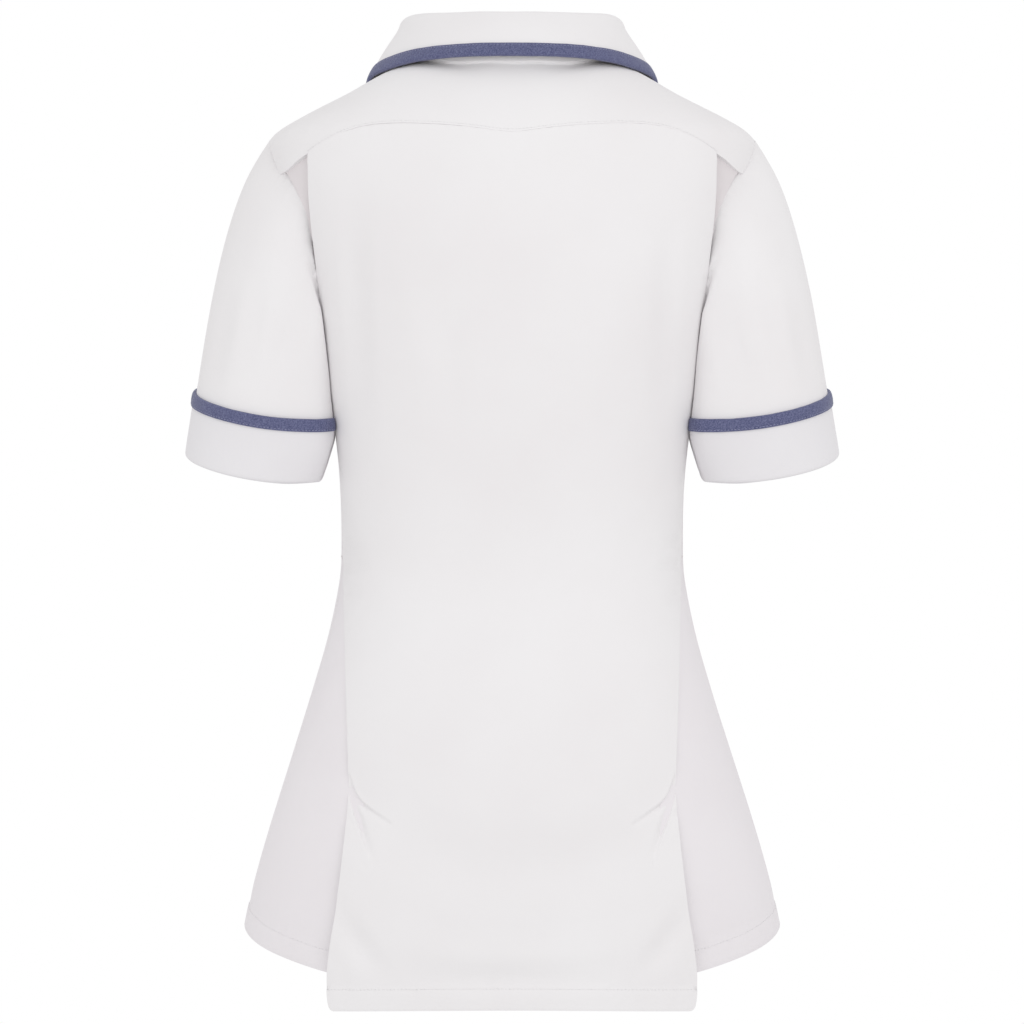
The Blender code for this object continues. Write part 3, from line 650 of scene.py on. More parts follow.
def nearest_on_line(points: Array, line: Array) -> tuple[Array, Array]:
    """Distance from each point to a line, and how far along the line its nearest place is.

    Args:
        points: Points to measure.
        line: The line's points.

    Returns:
        Distances, and lengths along the line.
    """
    distance = np.full(len(points), np.inf)
    along = np.zeros(len(points))
    start = 0.0
    for a, b in zip(line[:-1], line[1:]):
        way = b - a
        length = float(np.linalg.norm(way)) or 1e-9
        share = np.clip((points - a) @ way / length**2, 0.0, 1.0)
        gap = np.linalg.norm(points - (a + share[:, None] * way), axis=1)
        closer = gap < distance
        distance[closer] = gap[closer]
        along[closer] = start + share[closer] * length
        start += length
    return distance, along


def signed_on_line(points: Array, line: Array, surface: ClothSurface) -> tuple[Array, Array, Array]:
    """Distance to a line, length along it, and distance beside it, positive on its left from outside.

    Args:
        points: Points to measure.
        line: The line's points, on the surface.
        surface: The surface, whose normals say which side is outside.

    Returns:
        The three arrays.
    """
    distance, along = nearest_on_line(points, line)
    _, ups = surface.lay(line)
    left = np.cross(ups, headings(line))
    near = np.argmin(((points[:, None, :] - line[None, :, :]) ** 2).sum(axis=2), axis=1)
    side = np.sign(np.einsum("ij,ij->i", points - line[near], left[near]))
    return distance, along, distance * side


FADE_IN = 0.35
FADE_OUT = 0.5
LAP_SOFTNESS = 0.10


@dataclass(frozen=True)
class Crease:
    """A soft trough along a line over the cloth, or a ridge where its depth is negative.

    Attributes:
        line: Places near the cloth that the crease passes.
        width: Half its width.
        depth: Its depth at its deepest.
        start: Share of its depth at its first end.
        end: Share of its depth at its last end.
        lap: How far one side stands over the other, as a share of the depth; its sign says which side.
    """

    line: tuple[Place, ...]
    width: float
    depth: float
    start: float = 0.0
    end: float = 0.0
    lap: float = 0.0

    def on(self, side: Side) -> "Crease":
        """The same crease on one side of the wearer, from one given for the left."""
        line = tuple(side.place(*p) for p in self.line)
        return Crease(line, self.width, self.depth, self.start, self.end, self.lap * side.sign)

    def push(self, points: Array, surface: ClothSurface) -> Array:
        """How far each point sinks.

        Args:
            points: The cloth's points.
            surface: The cloth's surface, on which the crease is laid.

        Returns:
            Depth at each point.
        """
        line = self.laid(surface)
        distance, along, beside = signed_on_line(points, line, surface)
        across = eased(1 - distance / self.width)
        if self.lap:
            share = np.clip(beside / self.width, -1.0, 1.0)
            step = share / (np.abs(share) + LAP_SOFTNESS) * (1 - np.abs(share)) ** 2
            across = (1 - abs(self.lap)) * across + self.lap * step
        share = along / lengths_along(line)[-1]
        fade_in = self.start + (1 - self.start) * share_of(share / FADE_IN)
        fade_out = self.end + (1 - self.end) * share_of((1 - share) / FADE_OUT)
        return self.depth * across * fade_in * fade_out

    def laid(self, surface: ClothSurface) -> Array:
        """The crease's line, eased and laid on the cloth."""
        guide = surface.straight_behind(np.array(self.line, dtype=float))
        rough = even_points(guide, min(self.width / 2, 0.004), ends=True)
        return smoothed(surface.lay(smoothed(rough, 8))[0], 3)


DRIFT = ((1.7, 0.23, 1.0), (0.9, 0.081, 2.0))
SWELL = (0.55, 0.45, 0.137, 3.1)


@dataclass(frozen=True)
class Puckers:
    """Small uneven waves that a line of sewing draws into the cloth.

    Attributes:
        pitch: Mean distance from one wave to the next.
        depth: Height of the waves beside the sewing.
        reach: How far from the sewing they die out.
        seed: Makes one seam's waves unlike another's.
    """

    pitch: float
    depth: float
    reach: float
    seed: float

    def push(self, points: Array, line: Array) -> Array:
        """How far each point sinks, given the line of sewing."""
        distance, along = nearest_on_line(points, line)
        turn = 2 * math.pi * along / self.pitch
        drift = sum(size * np.sin(turn * rate + lag * self.seed) for size, rate, lag in DRIFT)
        base, swing, rate, lag = SWELL
        height = base + swing * np.sin(turn * rate + lag * self.seed)
        near = np.exp(-((distance / self.reach) ** 2))
        return self.depth * near * height * np.sin(turn + drift)


def sink(piece: Piece, depths: Array) -> None:
    """Move each vertex in against its normal."""
    set_points(piece, points_of(piece) - normals_of(piece) * depths[:, None])


RUMPLE_STRETCH = Vector((1.0, 1.0, 0.55))
SEED_STEPS = (7.3, 3.1, 1.7)


def rumple(piece: Piece, height: float, size: float, seed: float) -> None:
    """Give a cloth broad, faint, uneven waves, as pressed cloth keeps.

    Args:
        piece: The open surface.
        height: Height of the waves.
        size: Their width.
        seed: Makes one piece unlike another.
    """
    points = points_of(piece)
    away = Vector([seed * step for step in SEED_STEPS])
    depths = np.array([noise.noise(Vector(p) * RUMPLE_STRETCH / size + away) for p in points])
    sink(piece, height * depths)


# Finishes


RIB_TURN = 0.628


class Bench:
    """A material's node tree, with short calls to add and join nodes."""

    def __init__(self, name: str) -> None:
        """Start a new material.

        Args:
            name: The material's name.
        """
        self.material = bpy.data.materials.new(name)
        self.material.use_nodes = True
        self.tree = self.material.node_tree
        self.shader = self.tree.nodes["Principled BSDF"]
        self.normal: Socket | None = None

    def node(self, kind: str, **settings: object) -> bpy.types.Node:
        """Add a node with its settings."""
        made = self.tree.nodes.new(kind)
        for name, value in settings.items():
            setattr(made, name, value)
        return made

    def join(self, start: Socket, end: Socket) -> None:
        """Link one socket to another."""
        self.tree.links.new(start, end)

    def weave_place(self, scale: float) -> Socket:
        """The piece's own weave coordinates, in metres, times a scale."""
        grain = self.node("ShaderNodeUVMap", uv_map="grain")
        mapping = self.node("ShaderNodeMapping")
        mapping.inputs["Scale"].default_value = (scale, scale, scale)
        self.join(grain.outputs["UV"], mapping.inputs["Vector"])
        return mapping.outputs["Vector"]

    def cloud(self, scale: float, detail: float, low: float, high: float) -> Socket:
        """Soft noise over the piece, between two values.

        Args:
            scale: Noise scale.
            detail: Noise detail.
            low: Noise value that gives 0.
            high: Noise value that gives 1.

        Returns:
            The socket of the value.
        """
        cloud = self.node("ShaderNodeTexNoise")
        cloud.inputs["Scale"].default_value = scale
        cloud.inputs["Detail"].default_value = detail
        self.join(self.node("ShaderNodeTexCoord").outputs["Object"], cloud.inputs["Vector"])
        span = self.node("ShaderNodeMapRange")
        span.inputs["From Min"].default_value = low
        span.inputs["From Max"].default_value = high
        self.join(cloud.outputs["Fac"], span.inputs["Value"])
        return span.outputs["Result"]

    def tint(self, share: Socket, plain: Colour, other: Colour) -> None:
        """Colour the surface between two colours, by a share."""
        mix = self.node("ShaderNodeMix", data_type="RGBA")
        mix.inputs[6].default_value = (*plain, 1.0)
        mix.inputs[7].default_value = (*other, 1.0)
        self.join(share, mix.inputs["Factor"])
        self.join(mix.outputs[2], self.shader.inputs["Base Color"])

    def relief(self, height: Socket, depth: float, strength: float) -> None:
        """Bump the surface, over the coarser bump that it already has.

        Args:
            height: Height from 0 to 1.
            depth: What 1 means, in metres.
            strength: Strength from 0 to 1.
        """
        bump = self.node("ShaderNodeBump")
        bump.inputs["Distance"].default_value = depth
        bump.inputs["Strength"].default_value = strength
        self.join(height, bump.inputs["Height"])
        if self.normal is not None:
            self.join(self.normal, bump.inputs["Normal"])
        self.normal = bump.outputs["Normal"]
        self.join(self.normal, self.shader.inputs["Normal"])

    def plain(self, **values: object) -> None:
        """Set sockets of the shader itself, named with underscores for spaces."""
        for name, value in values.items():
            self.shader.inputs[name.replace("_", " ")].default_value = value


class Coat(NamedTuple):
    """A finish ready to put on.

    Attributes:
        material: Its material.
        slot: The record's material slot; not used.
    """

    material: bpy.types.Material
    slot: str


@dataclass(frozen=True)
class Finish:
    """What every finish of the tunic has.

    Attributes:
        name: The material's name.
        slot: The record's material slot.
        colour: Colour in linear light.
        shade: The tone that it varies to.
    """

    name: str
    slot: str
    colour: Colour
    shade: Colour

    def paint(self, bench: Bench) -> None:
        """Add this finish's own nodes to its material's."""
        raise NotImplementedError

    def make(self) -> Coat:
        """The material, with its slot."""
        bench = Bench(self.name)
        self.paint(bench)
        return Coat(bench.material, self.slot)


@dataclass(frozen=True)
class TwillFinish(Finish):
    """Pressed twill: faint diagonal ribs, soft crumple and slightly uneven tone.

    Attributes:
        rib: Distance from one diagonal rib to the next.
        rib_strength: Strength of the ribs.
        roughness: Surface roughness.
        sheen: Weight of the soft sheen of loose fibres.
        crumple: Strength of the fine crumple.
        fleck: Scale of the uneven tone; high where single threads show.
    """

    rib: float = 0.0009
    rib_strength: float = 0.25
    roughness: float = 0.82
    sheen: float = 0.12
    crumple: float = 0.16
    fleck: float = 7.0

    def paint(self, bench: Bench) -> None:
        """Add ribs, crumple and tone."""
        ribs = bench.node("ShaderNodeTexWave", wave_type="BANDS", bands_direction="DIAGONAL")
        ribs.inputs["Scale"].default_value = 1.0
        ribs.inputs["Distortion"].default_value = 0.6
        ribs.inputs["Detail"].default_value = 1.0
        bench.join(bench.weave_place(RIB_TURN / self.rib), ribs.inputs["Vector"])
        bench.relief(bench.cloud(42.0, 4.0, 0.3, 0.7), 0.0009, self.crumple)
        bench.relief(ribs.outputs["Fac"], 0.00012, self.rib_strength)
        bench.tint(bench.cloud(self.fleck, 3.0, 0.35, 0.75), self.colour, self.shade)
        bench.plain(
            Roughness=self.roughness, Sheen_Weight=self.sheen, Sheen_Roughness=0.5, Specular_IOR_Level=0.25
        )


@dataclass(frozen=True)
class ThreadFinish(Finish):
    """Spun sewing thread, with its twist as a fine bump."""

    def paint(self, bench: Bench) -> None:
        """Add twist and tone."""
        bench.relief(bench.cloud(3200.0, 1.0, 0.4, 0.6), 0.00006, 0.5)
        bench.tint(bench.cloud(900.0, 1.0, 0.35, 0.65), self.colour, self.shade)
        bench.plain(Roughness=0.55, Sheen_Weight=0.1, Specular_IOR_Level=0.4)


@dataclass(frozen=True)
class ButtonFinish(Finish):
    """White shirt-button plastic with faint cloudy layers."""

    def paint(self, bench: Bench) -> None:
        """Add cloudy layers and scuffs."""
        bench.tint(bench.cloud(260.0, 3.0, 0.3, 0.7), self.colour, self.shade)
        bench.relief(bench.cloud(1500.0, 2.0, 0.4, 0.8), 0.00003, 0.15)
        bench.plain(Roughness=0.28, Specular_IOR_Level=0.5, Coat_Weight=0.2, Coat_Roughness=0.2)


@dataclass(frozen=True)
class FloorFinish:
    """Plain pale studio paper.

    Attributes:
        name: The material's name.
        colour: Colour in linear light.
    """

    name: str
    colour: Colour

    def make(self) -> bpy.types.Material:
        """The material."""
        bench = Bench(self.name)
        bench.relief(bench.cloud(60.0, 2.0, 0.2, 0.8), 0.0005, 0.05)
        bench.plain(Base_Color=(*self.colour, 1.0), Roughness=0.9, Specular_IOR_Level=0.1)
        return bench.material


class Finishes:
    """The tunic's finishes, each made once."""

    def __init__(self) -> None:
        """Make the materials."""
        self.twill = self.white("cloth", (0.845, 0.830, 0.838), (0.815, 0.792, 0.800))
        # Front colour: a slightly pinker tone of the twill, and darker as painted shade where the fronts' sides
        # turn away from the light.
        self.front_twill = self.white("front", (0.838, 0.808, 0.828), (0.806, 0.770, 0.792))
        # Pleat colour is painted shade: the same white twill made darker, for the recessed fold that lies in
        # shade.
        self.pleat_twill = self.white("pleat", (0.765, 0.722, 0.734), (0.725, 0.682, 0.694))
        # Cuff colour is painted shade: the same white twill, darker and a little cooler.
        self.cuff_twill = self.white("cuff", (0.800, 0.785, 0.805), (0.765, 0.745, 0.765))
        self.binding = TwillFinish(
            "blue_binding_cloth", "blue_binding", (0.070, 0.078, 0.172), (0.182, 0.192, 0.325),
            rib_strength=0.6, roughness=0.75, sheen=0.2, crumple=0.3, fleck=950.0,
        ).make()
        self.white_thread = ThreadFinish(
            "white_thread", "white_twill", (0.88, 0.87, 0.88), (0.80, 0.79, 0.80)
        ).make()
        self.blue_thread = ThreadFinish(
            "blue_thread", "blue_binding", (0.40, 0.41, 0.55), (0.30, 0.31, 0.46)
        ).make()
        self.button = ButtonFinish("button_plastic", "button", (0.86, 0.86, 0.85), (0.80, 0.80, 0.80)).make()

    def white(self, part: str, colour: Colour, shade: Colour) -> Coat:
        """White twill in one part's colour; the front, pleat and cuff colours hold painted shade."""
        return TwillFinish(f"white_twill_{part}", "white_twill", colour, shade).make()


def dress(piece: Piece, coat: Coat) -> None:
    """Give a piece its material, and let it ride on the body."""
    piece.data.materials.clear()
    piece.data.materials.append(coat.material)
    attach(piece, BODY)


# Weave direction


SLEEVE_TOP = Vector((0.182, 0.002, -0.140))
SLEEVE_FOOT = Vector((0.208, -0.004, -0.324))


BODY_RADIUS = 0.135
SLEEVE_RADIUS = 0.060


def whole_numbers(items: bpy.types.bpy_prop_collection, name: str) -> Array:
    """One whole-number property of a mesh's items, as an array."""
    found = np.empty(len(items), dtype=int)
    items.foreach_get(name, found)
    return found


def lay_grain(piece: Piece, grain: Grain) -> None:
    """Write the weave map: metres round the body or sleeve, and metres along it.

    Args:
        piece: The finished cloth piece.
        grain: Which way its threads run.
    """
    mesh = piece.data
    layer = mesh.uv_layers.get("grain") or mesh.uv_layers.new(name="grain")
    if grain is Grain.BODY:
        origin, down, radius = Vector((0, 0, 0)), Vector((0, 0, -1)), BODY_RADIUS
    else:
        mirror = Vector((1 if grain is Grain.LEFT_SLEEVE else -1, 1, 1))
        origin, radius = SLEEVE_TOP * mirror, SLEEVE_RADIUS
        down = (SLEEVE_FOOT * mirror - origin).normalized()
    side = Vector((0, 1, 0)).cross(down).normalized()
    behind = down.cross(side)
    points = points_of(piece) - np.array(origin)
    turns = np.arctan2(points @ np.array(side), points @ np.array(behind))
    lengths = points @ np.array(down)
    corners = whole_numbers(mesh.loops, "vertex_index")
    starts = whole_numbers(mesh.polygons, "loop_start")
    first = np.repeat(turns[corners[starts]], whole_numbers(mesh.polygons, "loop_total"))
    turn = turns[corners]
    turn = turn - 2 * math.pi * np.round((turn - first) / (2 * math.pi))
    places = np.stack([turn * radius, lengths[corners]], axis=1)
    layer.data.foreach_set("uv", places.ravel())


# Sewing

STITCH_BODY = 0.7
STITCH_TIP = 0.15
STITCH_DIP = 0.8
STITCH_TAPER = 0.4
STITCH_RISE = 0.35


class StitchKind(Enum):
    """Length, thickness and pitch of one kind of stitching."""

    TOPSTITCH = (0.0024, 0.00017, 0.0030)
    EDGE = (0.0020, 0.00017, 0.0028)
    LADDER = (0.0026, 0.00017, 0.0017)
    BUTTONHOLE = (0.0022, 0.00017, 0.0009)

    @property
    def length(self) -> float:
        """Length of one stitch."""
        return self.value[0]

    @property
    def thickness(self) -> float:
        """Half the thread's thickness."""
        return self.value[1]

    @property
    def pitch(self) -> float:
        """Distance from one stitch to the next."""
        return self.value[2]

    @property
    def crosswise(self) -> bool:
        """True where the stitches lie across their line."""
        return self in (StitchKind.LADDER, StitchKind.BUTTONHOLE)


def rod(sides: int, radius: float, length: float) -> Piece:
    """A new rod along X, at the origin."""
    settle()
    lying = (0, math.pi / 2, 0)
    bpy.ops.mesh.primitive_cylinder_add(vertices=sides, radius=radius, depth=length, rotation=lying)
    bpy.ops.object.transform_apply(location=False, rotation=True, scale=False)
    return bpy.context.object


def one_stitch(kind: StitchKind) -> tuple[Array, list[list[int]]]:
    """Points and faces of one stitch along X: a short six-sided thread whose thin ends dip into the cloth."""
    piece = rod(6, kind.thickness, kind.length * STITCH_BODY)
    tip, dip = kind.length * STITCH_TIP, kind.thickness * STITCH_DIP
    for sign in (-1, 1):
        switch("OBJECT")
        for polygon in piece.data.polygons:
            polygon.select = sign * polygon.normal.x > 0.9
        switch("EDIT")
        bpy.ops.mesh.extrude_region_move(TRANSFORM_OT_translate={"value": (sign * tip, 0, -dip)})
        bpy.ops.transform.resize(value=(1, STITCH_TAPER, STITCH_TAPER))
        pick("DESELECT")
    switch("OBJECT")
    points = points_of(piece)
    faces = [list(polygon.vertices) for polygon in piece.data.polygons]
    discard(piece)
    return points, faces


TEMPLATES: dict[StitchKind, tuple[Array, list[list[int]]]] = {}


def sew(
    name: str, surface: ClothSurface, lines: Iterable[Array], kind: StitchKind, coat: Coat, under: bool = False
) -> Piece:
    """Lay rows of stitches over a surface, joined as one piece.

    Args:
        name: The piece's name.
        surface: The cloth that they lie on.
        lines: Where they run.
        kind: Which kind of stitch.
        coat: The thread's finish.
        under: True to lay them on the cloth's other side.

    Returns:
        The new piece.
    """
    if kind not in TEMPLATES:
        TEMPLATES[kind] = one_stitch(kind)
    shape, faces = TEMPLATES[kind]
    all_points = []
    all_faces: list[list[int]] = []
    for line in lines:
        middles = even_points(line, kind.pitch)
        places, ups = surface.lay(middles)
        lift = surface.lift
        if under:
            ups = -ups
            lift = CLOTH_WALL - surface.lift
        across = unit(np.cross(ups, headings(places)))
        ahead = np.cross(across, ups)
        if kind.crosswise:
            ahead, across = across, -ahead
        for place, up, way, over in zip(places, ups, ahead, across):
            start = len(all_points) * len(shape)
            moved = place + up * (lift + kind.thickness * STITCH_RISE) + shape @ np.stack([way, over, up])
            all_points.append(moved)
            all_faces.extend([[corner + start for corner in face] for face in faces])
    mesh = bpy.data.meshes.new(name)
    mesh.from_pydata(np.vstack(all_points).tolist(), [], all_faces)
    mesh.shade_smooth()
    piece = add_piece(name, mesh)
    dress(piece, coat)
    log.info("sewed %s: %d stitches", name, len(all_points))
    return piece


# Cloth pieces

HEM_DEPTH = 0.0165
HEM_STEP = 0.0009
HEM_REACH = 0.014
SHARP_REACH = 0.012


@dataclass
class ClothPiece:
    """One cut piece of the tunic, made from its solid's wall.

    Attributes:
        node: The solid that it stands for.
        cut: Width and length of the flat cloth it is cut from; not used.
        cut_area: Flat area of the cut; not used.
        hangs_from: The pieces that it hangs from or lies on; not used.
        levels: How many times its surface is subdivided.
        grain: Which way its threads run.
        wall: Its thickness.
        held: How it is held; not used.
        rumple: Height and width of its broad faint waves.
        creases: Its main creases.
    """

    node: str
    cut: tuple[float, float]
    cut_area: float
    hangs_from: tuple[str, ...]
    levels: int = 3
    grain: Grain = Grain.BODY
    wall: float = CLOTH_WALL
    held: str = "hung"
    rumple: tuple[float, float] = (0.0010, 0.090)
    creases: tuple[Crease, ...] = ()
    piece: Piece = field(init=False)
    surface: ClothSurface = field(init=False)
    offset: float = field(init=False, default=-1.0)

    @property
    def name(self) -> str:
        """Name of the finished piece."""
        return f"{self.node}_cloth"

    def open(self) -> None:
        """Make the piece's open surface and crease it."""
        self.piece, self.offset = open_wall(self.node, self.name)
        refine(self.piece, self.levels)
        rumple(self.piece, *self.rumple, seed_of(self.node, 97))
        surface = ClothSurface(self.piece)
        sharp = [crease for crease in self.creases if crease.lap]
        if sharp:
            refine_near(self.piece, [crease.laid(surface) for crease in sharp], SHARP_REACH, 3)
        points = points_of(self.piece)
        depths = np.zeros(len(points))
        for crease in self.creases:
            depths += crease.push(points, surface)
        sink(self.piece, depths)
        self.read()

    def read(self) -> None:
        """Take a snapshot of the open surface."""
        self.surface = ClothSurface(self.piece, self.wall if self.offset > 0 else 0.0)

    def move_to(self, points: Array) -> None:
        """Move the open surface's vertices, and read it again."""
        set_points(self.piece, points)
        self.read()

    def edge(self, *nodes: str, reach: float = 0.0025) -> Array:
        """The stretch of the open surface's edge that runs beside some CAD nodes."""
        return edge_run(self.piece, Beside(nodes, reach))

    def tuck(
        self, *nodes: str, reach: float = 0.0025, drop: float = 0.0017, length: float = 0.005,
        close: float = 0.0002, but_not: tuple[str, ...] = (),
    ) -> None:
        """Run the piece's edge on under some neighbours, as its seam allowance does.

        Args:
            nodes: The neighbours.
            reach: How near they are.
            drop: How far under its own surface the allowance lies.
            length: How far it runs on.
            close: How much of the gap at the seam the cloth itself fills.
            but_not: Solids beside which the edge stays free.
        """
        near = Beside(nodes, reach)
        kept_free = Beside(but_not, 0.006)
        tuck_edge(self.piece, lambda points: near(points) & ~kept_free(points), drop, length, close)

    def keep_under(self, cover: "ClothPiece", clear: float = 0.0004) -> None:
        """Press the open surface in wherever it would show through a piece that lies over it.

        Args:
            cover: The piece that lies over it.
            clear: Gap to keep between the two walls.
        """
        need = clear + (cover.wall if cover.offset < 0 else 0.0) + (self.wall if self.offset > 0 else 0.0)
        points = points_of(self.piece)
        for at, point in enumerate(points):
            place, up, _, _ = cover.surface.tree.find_nearest(Vector(point), 0.005)
            if place is None:
                continue
            depth = (place - Vector(point)).dot(up)
            if depth < need:
                points[at] -= np.array(up) * (need - depth)
        self.move_to(points)

    def pucker(self, line: Array, waves: Puckers) -> None:
        """Draw small waves into the open surface along a line of sewing."""
        sink(self.piece, waves.push(points_of(self.piece), line))
        self.read()

    def stand_hem(self, line: Array) -> None:
        """Let the doubled cloth of a hem stand a little out from the single cloth above its sewing."""
        points = points_of(self.piece)
        distance, along = nearest_on_line(points, line)
        above = points[:, 2] > np.interp(along, lengths_along(line), line[:, 2])
        sink(self.piece, HEM_STEP * above * share_of(1 - distance / HEM_REACH))
        self.read()

    def finish(self, coat: Coat, with_pieces: Sequence[Piece] = ()) -> None:
        """Give the piece its wall, weave and finish.

        Args:
            coat: The cloth's finish.
            with_pieces: Sewing and trim that go with it; not used.
        """
        area = sum(polygon.area for polygon in self.piece.data.polygons)
        give_wall(self.piece, self.wall, self.offset)
        lay_grain(self.piece, self.grain)
        dress(self.piece, coat)
        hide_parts(self.node)
        log.info("finished %s: %.4f m2 of cloth, %d faces", self.name, area, len(self.piece.data.polygons))


def both_sides(creases: Iterable[Crease]) -> tuple[Crease, ...]:
    """Creases given for the left, on both sides."""
    return tuple(crease.on(side) for crease in creases for side in Side)


BAND_SHARES = (0.0, 0.12, 0.3, 0.5, 0.7, 0.88, 1.0)
BAND_SWELL = (0.00015, 0.0003, 0.0004, 0.0003, 0.0, -0.0002)
BAND_STEP = 0.0038
BAND_GAP = 0.0004


@dataclass
class Binding:
    """A bound edge: a folded strip of blue twill over a cloth piece's free edge.

    Attributes:
        node: The solid that it stands for.
        cut: Width and length of the strip as it is cut; not used.
        on: The cloth piece that it binds.
        grain: Which way its threads run.
        stitch_from_edge: How far from the free edge it is sewn down.
        edge_reach: How near its solid the free edge lies.
    """

    node: str
    cut: tuple[float, float]
    on: ClothPiece
    grain: Grain = Grain.BODY
    stitch_from_edge: float = 0.0082
    edge_reach: float = 0.0050
    piece: Piece = field(init=False)

    def build(self, finishes: Finishes) -> None:
        """Lay the strip over the edge, from inside its rim to the band's width down its outside."""
        run = even_points(self.on.edge(self.node, reach=self.edge_reach), BAND_STEP, ends=True)
        surface = self.on.surface
        rows = surface.rows(run, [max(share, 0.002) * BAND_WIDTH for share in BAND_SHARES])
        first, ups = surface.lay(rows[0])
        away = unit(first - surface.lay(rows[1])[0])
        inside = CLOTH_WALL - surface.lift
        stand_off = surface.lift + BAND_GAP + BAND_WALL
        around = [
            first - ups * (inside + 0.0012) - away * 0.0012,
            first - ups * (inside + 0.0008) + away * 0.0008,
            first - ups * (BAND_GAP - surface.lift) + away * 0.0009,
            first + ups * (stand_off - BAND_GAP) + away * 0.0006,
        ]
        for row, puff in zip(rows[1:], BAND_SWELL):
            places, normals = surface.lay(row)
            around.append(places + normals * (stand_off + puff))
        self.piece = self.grid(np.array(around), is_ring(rows[0]))
        rumple(self.piece, 0.00025, 0.012, seed_of(self.node, 89))
        skin = ClothSurface(self.piece)
        line = surface.rows(run, (self.stitch_from_edge,))[0]
        places, normals = surface.lay(line)
        give_wall(self.piece, BAND_WALL, -1.0)
        lay_grain(self.piece, self.grain)
        dress(self.piece, finishes.binding)
        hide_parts(self.node)
        sewn = [places + normals * stand_off]
        stitches = sew(f"{self.node}_stitches", skin, sewn, StitchKind.EDGE, finishes.blue_thread)
        log.info("bound %s: %d faces", self.node, len(self.piece.data.polygons))

    def grid(self, rows: Array, ring: bool) -> Piece:
        """An open surface of quads through rows of points.

        Args:
            rows: Rows of points, all of one length.
            ring: True where each row's last point is its first.

        Returns:
            The new object, facing away from the cloth.
        """
        if ring:
            rows = rows[:, :-1]
        count = rows.shape[1]
        across = count if ring else count - 1
        pairs = [(c, (c + 1) % count) for c in range(across)]
        starts = range(0, (len(rows) - 1) * count, count)
        faces = [[s + c, s + after, s + count + after, s + count + c] for s in starts for c, after in pairs]
        mesh = bpy.data.meshes.new(f"{self.node}_cloth")
        mesh.from_pydata(rows.reshape(-1, 3).tolist(), [], faces)
        piece = add_piece(f"{self.node}_cloth", mesh)
        polygon = mesh.polygons[len(faces) // 2 // across * across + count // 3]
        _, normal, _, _ = self.on.surface.tree.find_nearest(polygon.center)
        if polygon.normal.dot(normal) < 0:
            activate(piece)
            switch("EDIT")
            pick("SELECT")
            bpy.ops.mesh.flip_normals()
            switch("OBJECT")
        refine(piece, 1)
        return piece


# The tunic's parts

YOKE_SEAM_STITCH = 0.0018
NECK_REACH = 0.004
NECK_DROP = 0.0045
DIP_INNER = (0.012, 0.042)
DIP_OUTER = (0.112, 0.026)
DIP_REACH = 0.011
DIP_BEHIND = 0.010


def neck_dip(points: Array, seam: Array) -> Array:
    """How far the cloth beside the neck seam hangs lower on either side of the nape, so that it runs level.

    Args:
        points: The cloth's points.
        seam: The neck seam's points.

    Returns:
        The drop at each point.
    """
    x = np.abs(points[:, 0])
    beside = share_of((x - DIP_INNER[0]) / DIP_INNER[1]) * share_of((DIP_OUTER[0] - x) / DIP_OUTER[1])
    near = np.exp(-((nearest_on_line(points, seam)[0] / DIP_REACH) ** 2))
    return NECK_DROP * eased(beside) * near * share_of(points[:, 1] / DIP_BEHIND)


VENT_CREASES = both_sides((
    Crease(
        (
            (0.1290, 0.1, -0.5748), (0.1266, 0.1, -0.5814), (0.1228, 0.1, -0.5890), (0.1160, 0.1, -0.5950),
            (0.1082, 0.1, -0.5994), (0.0962, 0.1, -0.6066),
        ),
        0.0072, 0.0034, start=0.6, end=0.3, lap=-0.75,
    ),
    Crease(
        (
            (0.1312, 0.1, -0.5850), (0.1280, 0.1, -0.5934), (0.1208, 0.1, -0.6094), (0.1152, 0.1, -0.6230),
            (0.1096, 0.1, -0.6374),
        ),
        0.0082, 0.0046, start=0.6, end=0.1, lap=0.65,
    ),
))
DRAPE_CREASES = (
    Crease(
        (
            (-0.122, 0.06, -0.592), (-0.087, 0.06, -0.622), (-0.044, 0.06, -0.640), (0.0, 0.06, -0.645),
            (0.044, 0.06, -0.639), (0.087, 0.06, -0.620), (0.122, 0.06, -0.592),
        ),
        0.042, 0.0034, start=0.5, end=0.5,
    ),
    Crease(
        ((-0.095, 0.06, -0.668), (-0.035, 0.06, -0.688), (0.040, 0.06, -0.684), (0.092, 0.06, -0.662)),
        0.034, 0.0014,
    ),
    Crease(
        ((0.100, 0.06, -0.722), (0.030, 0.06, -0.726), (-0.060, 0.06, -0.724), (-0.110, 0.06, -0.718)),
        0.018, 0.0032,
    ),
)
FLAP_CREASES = both_sides((
    Crease(((0.134, 0.05, -0.677), (0.121, 0.06, -0.698), (0.092, 0.06, -0.732)), 0.016, 0.0032, start=0.3),
))
